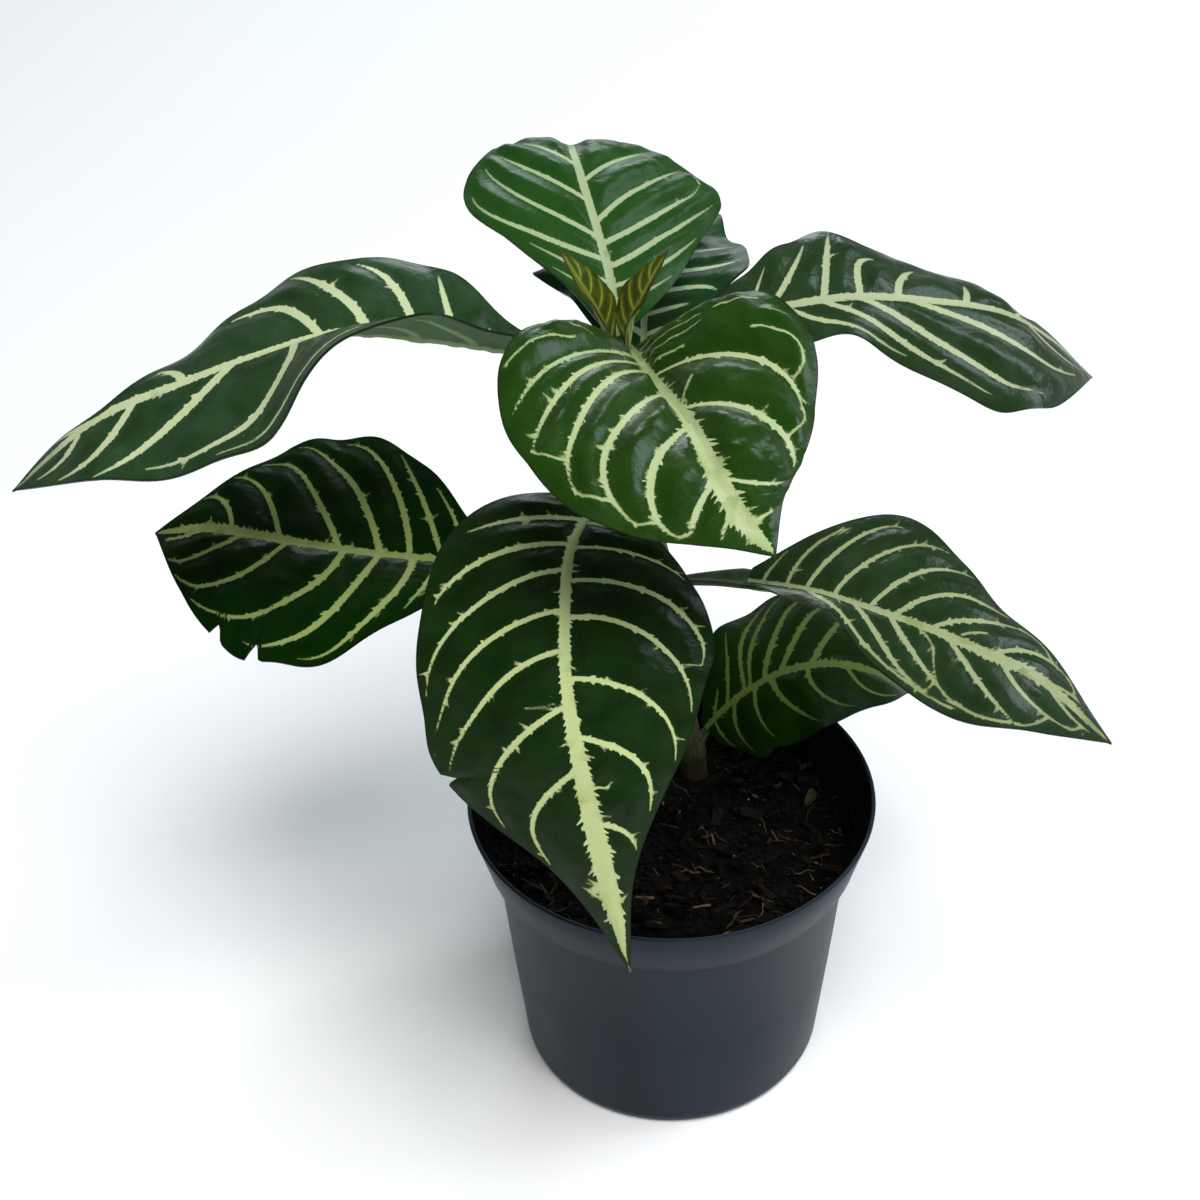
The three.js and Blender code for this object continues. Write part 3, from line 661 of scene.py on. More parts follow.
BLADE_THICKNESS = 0.7
RIB_HALF_WIDTH = 1.3
RIB_DEPTH = 2.4
PETIOLE_HALF_WIDTH = 1.9
PETIOLE_DEPTH = 2.6
PETIOLE_GROOVE = 0.35
PETIOLE_SUNK = 1.2
PETIOLE_ROWS = 40
TIP_HALF_WIDTH = 0.3
GROOVE_DEPTH = 0.3
GROOVE_HALF_WIDTH = 1.1
QUILT_REACH = 3.4
MARGIN_REACH = 4
VEIN_RIDGE = 0.35
VEIN_RIDGE_HALF_WIDTH = 0.7
GRID_STEP = 1.0
VEIN_STEPS = 18
LOOP_STEPS = 9
VEIN_APART = 37.0
VEIN_END = 0.17
SPUR_REACH = (1.2, 2.8)
SPIKE_REACH = (0.8, 2.6)
RIB_SPIKE_REACH = (1, 3)
GLOSS = 0.22
SHINE = 0.22


def half_width(side, places, length):
    """Half the blade's width at places along it, narrowed where the margin is torn, in mm."""
    width = np.maximum(smooth(side["half"], places), TIP_HALF_WIDTH)
    for place, depth, reach in side.get("nicks", ()):
        away = np.abs(places - place) * length / reach
        width = np.where(away < 1, np.maximum(width - depth * (1 - away), TIP_HALF_WIDTH), width)
    return width


def leaf_frame(line, places, heading):
    """The middle line's points and the directions to the right of it and out of its upper face."""
    ahead = unit(smooth(line, places, slope=True))
    turn = math.radians(heading)
    right = np.broadcast_to([math.sin(turn), -math.cos(turn), 0.0], ahead.shape)
    right = unit(right - ahead * np.sum(right * ahead, -1, keepdims=True))
    return smooth(line, places), right, np.cross(right, ahead)


def by_side(leaf, measure, places, across):
    """One of the leaf's measures along it, taken from the side that each point lies on."""
    left, right = smooth(leaf["left"][measure], places), smooth(leaf["right"][measure], places)
    return np.where(across < 0, left, right)


def blade_points(leaf, places, across, length):
    """Points and outward directions of the blade. across runs from -1, left margin, to 1, right."""
    middle, right, out = leaf_frame(leaf["midrib"], places, leaf["heading"])
    share, sign = np.abs(across), np.where(across < 0, -1.0, 1.0)
    width = np.where(across < 0, half_width(leaf["left"], places, length),
                     half_width(leaf["right"], places, length))
    lift = np.radians(by_side(leaf, "lift", places, across))
    bend = np.radians(by_side(leaf, "droop", places, across))
    bend = np.where(np.abs(bend) < 1e-3, 1e-3, bend)
    sideways = (np.sin(lift) - np.sin(lift - bend * share)) / bend
    upwards = (np.cos(lift - bend * share) - np.cos(lift)) / bend
    swell, waves = leaf["wave"]
    ripple = (swell * share ** 2 * np.sin(2 * math.pi * (waves * places + 0.2 * sign))
              * np.sin(math.pi * places))
    slope = lift - bend * share
    normal = out * np.cos(slope)[:, None] - right * (sign * np.sin(slope))[:, None]
    beside, above = sign * width * sideways, width * upwards + ripple
    return middle + right * beside[:, None] + out * above[:, None], normal, width


def bent(start, turning, end, steps):
    """A curve from start to end, pulled towards the turning point."""
    u = np.linspace(0, 1, steps)[:, None]
    return (1 - u) ** 2 * np.array(start) + 2 * u * (1 - u) * np.array(turning) + u ** 2 * np.array(end)


def vein_lines(leaf, length, rng):
    """Centre lines of the painted veins on the flat blade: arrays of (along, across, half width) in
    mm. The first list is the side veins that the blade is quilted between, the second the rest."""
    main, small = [], []

    def laid_flat(course, side, sign):
        """A course in shares of length and width, as (along, across) in mm on the flat blade."""
        whole = dict(leaf[side], nicks=())
        across = sign * course[:, 1] * half_width(whole, course[:, 0], length)
        return np.stack([course[:, 0] * length, across], -1)

    def spike(origin, heading, reach, half):
        """A short pointed tooth that stands out from a vein."""
        steps = np.linspace(0, 1, 4)[:, None]
        way = np.array([math.cos(heading), math.sin(heading)])
        small.append(np.hstack([origin + way * reach * steps, half * (1 - 0.85 * steps)]))

    for side, sign in (("right", 1), ("left", -1)):
        lines = []
        for start, turn_at, turn_out, end_at, end_out, *share in leaf["veins"][side]:
            course = bent((start, 0), (turn_at, turn_out), (end_at, end_out), VEIN_STEPS)
            # The paint is as wide as foot at the rib, about 0.9 halfway and VEIN_END at its end.
            u = np.linspace(0, 1, VEIN_STEPS)
            foot = leaf.get("foot", 0.85)
            fall = (0.82 - 0.55 * foot) / 0.25
            taper = foot + (VEIN_END - foot + fall) * u - fall * u ** 2
            half = leaf["vein"] * (share or [1])[0] * taper
            line = np.hstack([laid_flat(course, side, sign), half[:, None]])
            lines.append(line)
            if rng.uniform() < leaf.get("spurs", 0):
                i = rng.integers(VEIN_STEPS - 6, VEIN_STEPS - 2)
                ahead = math.atan2(*(line[i + 1, :2] - line[i, :2])[::-1])
                reach = line[i, 2] + rng.uniform(*SPUR_REACH)
                spike(line[i, :2], ahead + sign * math.radians(70), reach, 0.4)
            run = np.linalg.norm(np.diff(line[:, :2], axis=0), axis=1).sum()
            for _ in range(rng.poisson(run / leaf["spike_gap"])):
                i = rng.integers(3, VEIN_STEPS - 2)
                ahead = math.atan2(*(line[i + 1, :2] - line[i, :2])[::-1])
                turned = math.radians(rng.uniform(40, 85)) * rng.choice((-1, 1))
                spike(line[i, :2], ahead + turned, line[i, 2] + rng.uniform(*SPIKE_REACH), 0.45)
        main.extend(lines)
        for i, joined_at in leaf.get("loops", {}).get(side, ()):
            end, meet = lines[i][-1, :2], lines[i + 1][int(joined_at * VEIN_STEPS), :2]
            middle = (0.35 * end[0] + 0.65 * meet[0], 0.9 * end[1] + 0.1 * meet[1])
            thin = 0.42 - 0.2 * np.sin(np.linspace(0, math.pi, LOOP_STEPS))[:, None]
            small.append(np.hstack([bent(end, middle, meet, LOOP_STEPS), thin]))
        hairs = leaf.get("hairs", {}).get(side, ())
        for first_at, first_out, turn_at, turn_out, end_at, end_out, half in hairs:
            course = bent((first_at, first_out), (turn_at, turn_out), (end_at, end_out), LOOP_STEPS)
            small.append(np.hstack([laid_flat(course, side, sign), np.full((LOOP_STEPS, 1), half)]))
        for _ in range(leaf["rib_spikes"]):
            at = rng.uniform(0.08, 0.92)
            heading = math.radians(rng.uniform(50, 80))
            reach = float(smooth(leaf["rib"], at)) + rng.uniform(*RIB_SPIKE_REACH)
            spike(np.array([at * length, 0]), sign * heading, reach, 0.6)
    return main, small


def nearest_vein(flat, lines):
    """For each flat point, the way to the middle of the line whose painted edge is nearest, that
    line's half width there, how far along it that is and on which side, and the edge's distance."""
    starts = np.concatenate([line[:-1] for line in lines])
    ends = np.concatenate([line[1:] for line in lines])
    runs = []
    for i, line in enumerate(lines):
        steps = np.linalg.norm(np.diff(line[:, :2], axis=0), axis=1)
        runs.append(np.concatenate([[0], np.cumsum(steps)])[:-1] + VEIN_APART * i)
    runs = np.concatenate(runs)
    span = ends[:, :2] - starts[:, :2]
    square = np.maximum((span ** 2).sum(1), 1e-9)
    best = np.full(len(flat), 1e9)
    found = np.zeros((len(flat), 5))
    for i in range(len(starts)):
        share = np.clip(((flat - starts[i, :2]) @ span[i]) / square[i], 0, 1)
        way = starts[i, :2] + share[:, None] * span[i] - flat
        half = starts[i, 2] + share * (ends[i, 2] - starts[i, 2])
        beyond = np.hypot(way[:, 0], way[:, 1]) - half
        near = beyond < best
        best[near] = beyond[near]
        side = np.sign(way[near, 0] * span[i, 1] - way[near, 1] * span[i, 0])
        found[near] = np.stack([way[near, 0], way[near, 1], half[near],
                                runs[i] + share[near] * math.sqrt(square[i]), side], -1)
    return found, best


def attribute(thing, name, kind, values):
    """Keeps one number or three at each point of a mesh, for its material to read."""
    made = thing.data.attributes.new(name, kind, "POINT")
    field = "vector" if kind == "FLOAT_VECTOR" else "value"
    made.data.foreach_set(field, np.ascontiguousarray(values, np.float32).ravel())


def blade(leaf, seed, upper, lower):
    """The leaf's blade: a grid bent to its surface, quilted, then thickened under its upper face."""
    rng = np.random.default_rng(seed)
    line = smooth(leaf["midrib"], np.linspace(0, 1, 400))
    length = np.linalg.norm(np.diff(line, axis=0), axis=1).sum()
    broadest = max(leaf["left"]["half"]) + max(leaf["right"]["half"])
    scale = 0.5 if leaf.get("young") else 1
    step = GRID_STEP * scale
    rows, columns = int(length / step), int(broadest / step / 2) * 2
    bpy.ops.object.select_all(action="DESELECT")
    bpy.ops.mesh.primitive_grid_add(x_subdivisions=rows, y_subdivisions=columns, size=2)
    made = bpy.context.object
    made.name = leaf["name"]
    made.data.materials.append(upper)
    made.data.materials.append(lower)
    grid = get_points(made)
    places, across = (grid[:, 0] + 1) / 2, -grid[:, 1]
    points, normal, width = blade_points(leaf, places, across, length)
    flat = np.stack([places * length, across * width], -1)
    rim = (1 - np.abs(across)) * width
    main, small = vein_lines(leaf, length, rng)
    _, quilting = nearest_vein(flat, main)
    painted, _ = nearest_vein(flat, main + small)
    rib = np.minimum(smooth(leaf["rib"], places), 0.7 * width - 0.8)
    valley = np.minimum(np.maximum(quilting, 0), np.maximum(np.abs(flat[:, 1]) - 1, 0))
    shoulder = 1 - np.exp(-(valley / QUILT_REACH) ** 2)
    edge = 1 - np.exp(-(rim / MARGIN_REACH) ** 2)
    tail = np.clip((1 - places) * 6, 0, 1) * np.clip(places * 10, 0, 1)
    pucker = np.array([noise.noise(Vector((x, y, seed * 3.7)) * 0.15)
                       + 0.35 * noise.noise(Vector((x, y, seed * 5.1)) * 0.4) for x, y in flat])
    height = leaf["bulge"] * shoulder * edge * tail * (1 + 0.5 * pucker)
    groove = GROOVE_DEPTH * np.exp(-(flat[:, 1] / GROOVE_HALF_WIDTH) ** 2)
    height -= groove * np.clip(1.3 - places, 0, 1)
    set_points(made, (points + normal * height[:, None]) * MM)

    # The blade is thickest under its midrib and veins, by a share of RIB_DEPTH for each point.
    keel = (RIB_DEPTH * scale - BLADE_THICKNESS) * (1 - 0.8 * places)
    keel = keel * np.exp(-(flat[:, 1] / RIB_HALF_WIDTH) ** 2)
    ridge = VEIN_RIDGE * np.exp(-(np.maximum(quilting, 0) / VEIN_RIDGE_HALF_WIDTH) ** 2)
    depth = BLADE_THICKNESS * scale + keel + ridge * tail
    thickness = depth / RIB_DEPTH * np.clip(width / 3, 0.3, 1)
    group = made.vertex_groups.new(name="thickness")
    for i, share in enumerate(np.clip(thickness, 0, 1)):
        group.add([i], float(share), "REPLACE")
    attribute(made, "vein_way", "FLOAT_VECTOR",
              np.stack([painted[:, 0], painted[:, 1], np.hypot(painted[:, 0], painted[:, 1])], -1))
    attribute(made, "vein_here", "FLOAT_VECTOR", painted[:, 2:])
    attribute(made, "leaf_place", "FLOAT_VECTOR", np.stack([flat[:, 1], flat[:, 0], rim], -1))
    attribute(made, "rib_half", "FLOAT", rib)
    thick = made.modifiers.new("thickness", "SOLIDIFY")
    thick.thickness = RIB_DEPTH * MM
    thick.offset = -1
    thick.vertex_group = "thickness"
    thick.material_offset = 1
    bpy.ops.object.modifier_apply(modifier="thickness")
    bpy.ops.object.shade_smooth_by_angle(angle=math.radians(50))
    return made


def petiole(leaf):
    """The grooved stalk, from just inside the stem to a little way under the blade's foot."""
    node = STEM_NODES[leaf["node"]]
    centre = stem_middle([node])[0]
    foot = np.array(leaf["midrib"][0], float)
    following = np.array(leaf["petiole"][0] if leaf["petiole"] else foot, float)
    outwards = unit((following - centre) * (1, 1, 0))
    start = centre + outwards * (float(stem_radius(np.array([node]))[0]) - PETIOLE_SUNK)
    start[2] = node + PETIOLE_DEPTH / 2
    line = [start, *leaf["petiole"], foot, smooth(leaf["midrib"], [0.05])[0]]
    shares = np.concatenate([[0], np.linspace(0, 1, PETIOLE_ROWS - 1), [1]])
    middle, right, out = leaf_frame(line, shares, leaf["heading"])

    def points(row, turn):
        """Rings round the stalk: fuller at its foot, grooved above, and winged towards the blade."""
        share = shares[row]
        wing = np.where(np.cos(turn) < 0, *leaf.get("wing", (0, 0)))
        wing = wing * np.clip(1.6 * share, 0, 1) ** 1.5
        broad = PETIOLE_HALF_WIDTH * (1 + 0.3 * np.exp(-(share / 0.12) ** 2) - 0.35 * share ** 3)
        deep = PETIOLE_DEPTH / 2 * (1 + 0.25 * np.exp(-(share / 0.12) ** 2) - 0.4 * share ** 3)
        groove = PETIOLE_GROOVE * np.exp(-((turn - math.pi / 2) / 0.5) ** 2)
        closed = (row == 0) | (row == PETIOLE_ROWS)
        broad, deep = np.where(closed, 0, broad + wing), np.where(closed, 0, deep)
        height = deep * (np.sin(turn) - groove) - PETIOLE_DEPTH / 2 - 0.15
        height = height + 0.5 * wing * np.abs(np.cos(turn))
        return middle[row] + right[row] * (broad * np.cos(turn))[:, None] + out[row] * height[:, None]

    return rolled_tube("petiole", PETIOLE_ROWS, 20, points)


def leaf_paint(name, dark, green, cream, fine, edge, tooth, dots=0.6, gloss=GLOSS, shine=SHINE,
               margin=0.4, halo=2.6, halo_strength=0.55):
    """The leaf's marking. Ragged cream runs along the midrib and veins, by each point's way to
    the nearest vein and the vein's width there. dark is the panels' colour, green that near veins.
    For the grown leaves these colours also hold painted light and shade."""
    material, tree = new_material(name)
    vectors = [add_node(tree, "Attribute", attribute_name=kept).outputs["Vector"]
               for kept in ("vein_way", "vein_here", "leaf_place")]
    way, here, place = (add_node(tree, "SeparateXYZ", {0: vector}).outputs for vector in vectors)
    rib = add_node(tree, "Attribute", attribute_name="rib_half").outputs["Fac"]
    flat_way = add_node(tree, "CombineXYZ", {0: way[0], 1: way[1]})
    straight = add_node(tree, "VectorMath", {0: flat_way}, operation="LENGTH").outputs["Value"]
    between = add_node(tree, "Math", {0: way[2], 1: 0.2}, operation="SUBTRACT")
    distance = add_node(tree, "Math", {0: straight, 1: between}, operation="MAXIMUM")
    on_leaf = add_node(tree, "CombineXYZ", {0: place[0], 1: place[1]})

    def beyond_paint(distance, along, side, half, slant, pitch, rarity, longer, fuzz):
        """How far each point is beyond the ragged edge of a painted line, in mm. The edge's teeth
        are pointed, about a pitch apart, slanted towards the tip, and longer on a wider line."""
        swept = add_node(tree, "Math", {0: distance, 1: -slant, 2: along}, operation="MULTIPLY_ADD")
        steps = add_node(tree, "Math", {0: swept, 1: pitch}, operation="DIVIDE")
        apart = add_node(tree, "Math", {0: side, 1: 6.3}, operation="MULTIPLY")
        at = add_node(tree, "CombineXYZ", {0: steps, 1: apart})
        peaks = add_node(tree, "TexNoise", {"Vector": at, "Scale": 1, "Detail": 1.5, "Roughness": 0.6})
        high = add_node(tree, "MapRange", {"Value": peaks, "From Min": rarity,
                                           "From Max": rarity + 0.3})
        pointed = add_node(tree, "Math", {0: high, 1: tooth}, operation="MULTIPLY")
        reach = add_node(tree, "Math", {0: half, 1: longer}, operation="ADD")
        teeth = add_node(tree, "Math", {0: pointed, 1: reach}, operation="MULTIPLY")
        ragged = add_node(tree, "Math", {0: teeth, 1: fuzz}, operation="ADD")
        clear = add_node(tree, "Math", {0: distance, 1: half}, operation="SUBTRACT")
        return add_node(tree, "Math", {0: clear, 1: ragged}, operation="SUBTRACT")

    uneven = add_node(tree, "TexNoise", {"Vector": on_leaf, "Scale": 1.3, "Detail": 2})
    fuzz = add_node(tree, "Math", {0: uneven, 1: 0.5, 2: -0.25}, operation="MULTIPLY_ADD")
    by_width = add_node(tree, "Math", {0: here[0], 1: 1.6, 2: 0.1}, operation="MULTIPLY_ADD",
                        use_clamp=True)
    vein_fuzz = add_node(tree, "Math", {0: fuzz, 1: by_width}, operation="MULTIPLY")
    from_rib = add_node(tree, "Math", {0: place[0]}, operation="ABSOLUTE")
    rib_side = add_node(tree, "Math", {0: place[0]}, operation="SIGN")
    beyond_vein = beyond_paint(distance, here[1], here[2], here[0], 0.6, 1.7, 0.54, 0.3, vein_fuzz)
    beyond_rib = beyond_paint(from_rib, place[1], rib_side, rib, 0.7, 1.25, 0.47, -0.5, fuzz)
    nearest = add_node(tree, "Math", {0: beyond_vein, 1: beyond_rib}, operation="MINIMUM")
    painted = add_node(tree, "MapRange", {"Value": nearest, "From Min": 0.12, "From Max": -0.12})

    # Now and then a small cream dot stands alone in a panel.
    specks = add_node(tree, "TexVoronoi", {"Vector": on_leaf, "Scale": 0.2})
    drawn = add_node(tree, "SeparateColor", {"Color": specks.outputs["Color"]})
    chosen = add_node(tree, "Math", {0: drawn, 1: 1 - 0.35 * dots}, operation="SUBTRACT",
                      use_clamp=True)
    size = add_node(tree, "Math", {0: chosen, 1: 0.16}, operation="MULTIPLY")
    beyond_dot = add_node(tree, "Math", {0: specks.outputs["Distance"], 1: size},
                          operation="SUBTRACT")
    dot = add_node(tree, "MapRange", {"Value": beyond_dot, "From Min": 0.02, "From Max": -0.02})
    paint = add_node(tree, "Math", {0: painted, 1: dot}, operation="MAXIMUM")

    # The green is cloudy and finely speckled, and lighter in a halo round the paint.
    cloud = add_node(tree, "TexNoise", {"Vector": on_leaf, "Scale": 0.09, "Detail": 3})
    cells = add_node(tree, "TexNoise", {"Vector": on_leaf, "Scale": 1.6, "Detail": 3, "Roughness": 0.6})
    cloudy = add_node(tree, "MapRange", {"Value": cloud, "From Min": 0.35, "From Max": 0.68,
                                         "To Max": 0.75})
    close = add_node(tree, "MapRange", {"Value": nearest, "From Min": halo, "From Max": 0,
                                        "To Min": 0, "To Max": halo_strength})
    toward = add_node(tree, "Math", {0: cloudy, 1: close}, operation="MAXIMUM")
    panel = add_node(tree, "Mix", {"Factor": toward, "A": linear(dark), "B": linear(green)},
                     data_type="RGBA")
    speckled = add_node(tree, "MapRange", {"Value": cells, "From Min": 0.3, "From Max": 0.75,
                                           "To Min": 0.82, "To Max": 1.15})
    panel = add_node(tree, "VectorMath", {0: panel, "Scale": speckled}, operation="SCALE")

    # The cream is duller on the finest veins, and a little darker along the midrib's groove: partly
    # the rib's own tint and partly painted shade in the groove.
    width = add_node(tree, "MapRange", {"Value": here[0], "From Min": 0.15, "From Max": 0.6})
    groove = add_node(tree, "MapRange", {"Value": from_rib, "From Min": 0.3, "From Max": 1.1,
                                         "To Min": 0.95, "To Max": 1})
    broad = add_node(tree, "Math", {0: width, 1: groove}, operation="MULTIPLY")
    light = add_node(tree, "Mix", {"Factor": broad, "A": linear(fine), "B": linear(cream)},
                     data_type="RGBA")
    mottled = add_node(tree, "MapRange", {"Value": cells, "From Min": 0.35, "From Max": 0.7,
                                          "To Min": 0.95, "To Max": 1.03})
    light = add_node(tree, "VectorMath", {0: light, "Scale": mottled}, operation="SCALE")
    marked = add_node(tree, "Mix", {"Factor": paint, "A": panel, "B": light}, data_type="RGBA")
    rim = add_node(tree, "MapRange", {"Value": place[2], "From Min": margin + 0.15,
                                      "From Max": margin - 0.15})
    colour = add_node(tree, "Mix", {"Factor": rim, "A": marked, "B": linear(edge)}, data_type="RGBA")

    # The skin is leathery under thin wax: a broad satin sheen, duller on the cream, over fine pores.
    sheen = add_node(tree, "MapRange", {"Value": cloud, "From Min": 0.3, "From Max": 0.7,
                                        "To Min": gloss - 0.04, "To Max": gloss + 0.07})
    dull = add_node(tree, "Math", {0: paint, 1: 0.1, 2: sheen}, operation="MULTIPLY_ADD")
    pores = add_node(tree, "TexNoise", {"Vector": on_leaf, "Scale": 2.4, "Detail": 3,
                                        "Roughness": 0.65})
    wrinkles = add_node(tree, "TexNoise", {"Vector": on_leaf, "Scale": 0.45, "Detail": 2})
    sunken = add_node(tree, "Math", {0: paint, 1: -0.5, 2: wrinkles}, operation="MULTIPLY_ADD")
    height = add_node(tree, "Math", {0: pores, 1: 0.15, 2: sunken}, operation="MULTIPLY_ADD")
    skin = add_node(tree, "Bump", {"Height": height, "Strength": 0.7, "Distance": 0.00026})
    surface = add_node(tree, "BsdfPrincipled", {"Base Color": colour, "Roughness": dull, "Normal": skin,
                                                "Specular IOR Level": shine})
    add_node(tree, "OutputMaterial", {"Surface": surface})
    return material


# The stalk's skin is smooth and fleshy, blotched in two greens, with a soft highlight.
stalk, tree = new_material("petiole_smooth_green")
here = add_node(tree, "TexCoord").outputs["Object"]
blotch = add_node(tree, "TexNoise", {"Vector": here, "Scale": 220, "Detail": 4})
tint = add_node(tree, "MapRange", {"Value": blotch, "From Min": 0.35, "From Max": 0.65})
green = add_node(tree, "Mix", {"Factor": tint, "A": linear("#1c2c13"), "B": linear("#344a20")},
                 data_type="RGBA")
surface = add_node(tree, "BsdfPrincipled", {"Base Color": green, "Roughness": 0.48,
                                            "Specular IOR Level": 0.2})
add_node(tree, "OutputMaterial", {"Surface": surface})

# The underside has no wax: it is paler and matt, and its veins hardly differ in colour.
below = leaf_paint("leaf_underside_matt", "#4d6648", "#5d7655", "#7b9468", "#6c865c", "#39492f",
                   tooth=0.05, dots=0, gloss=0.5)
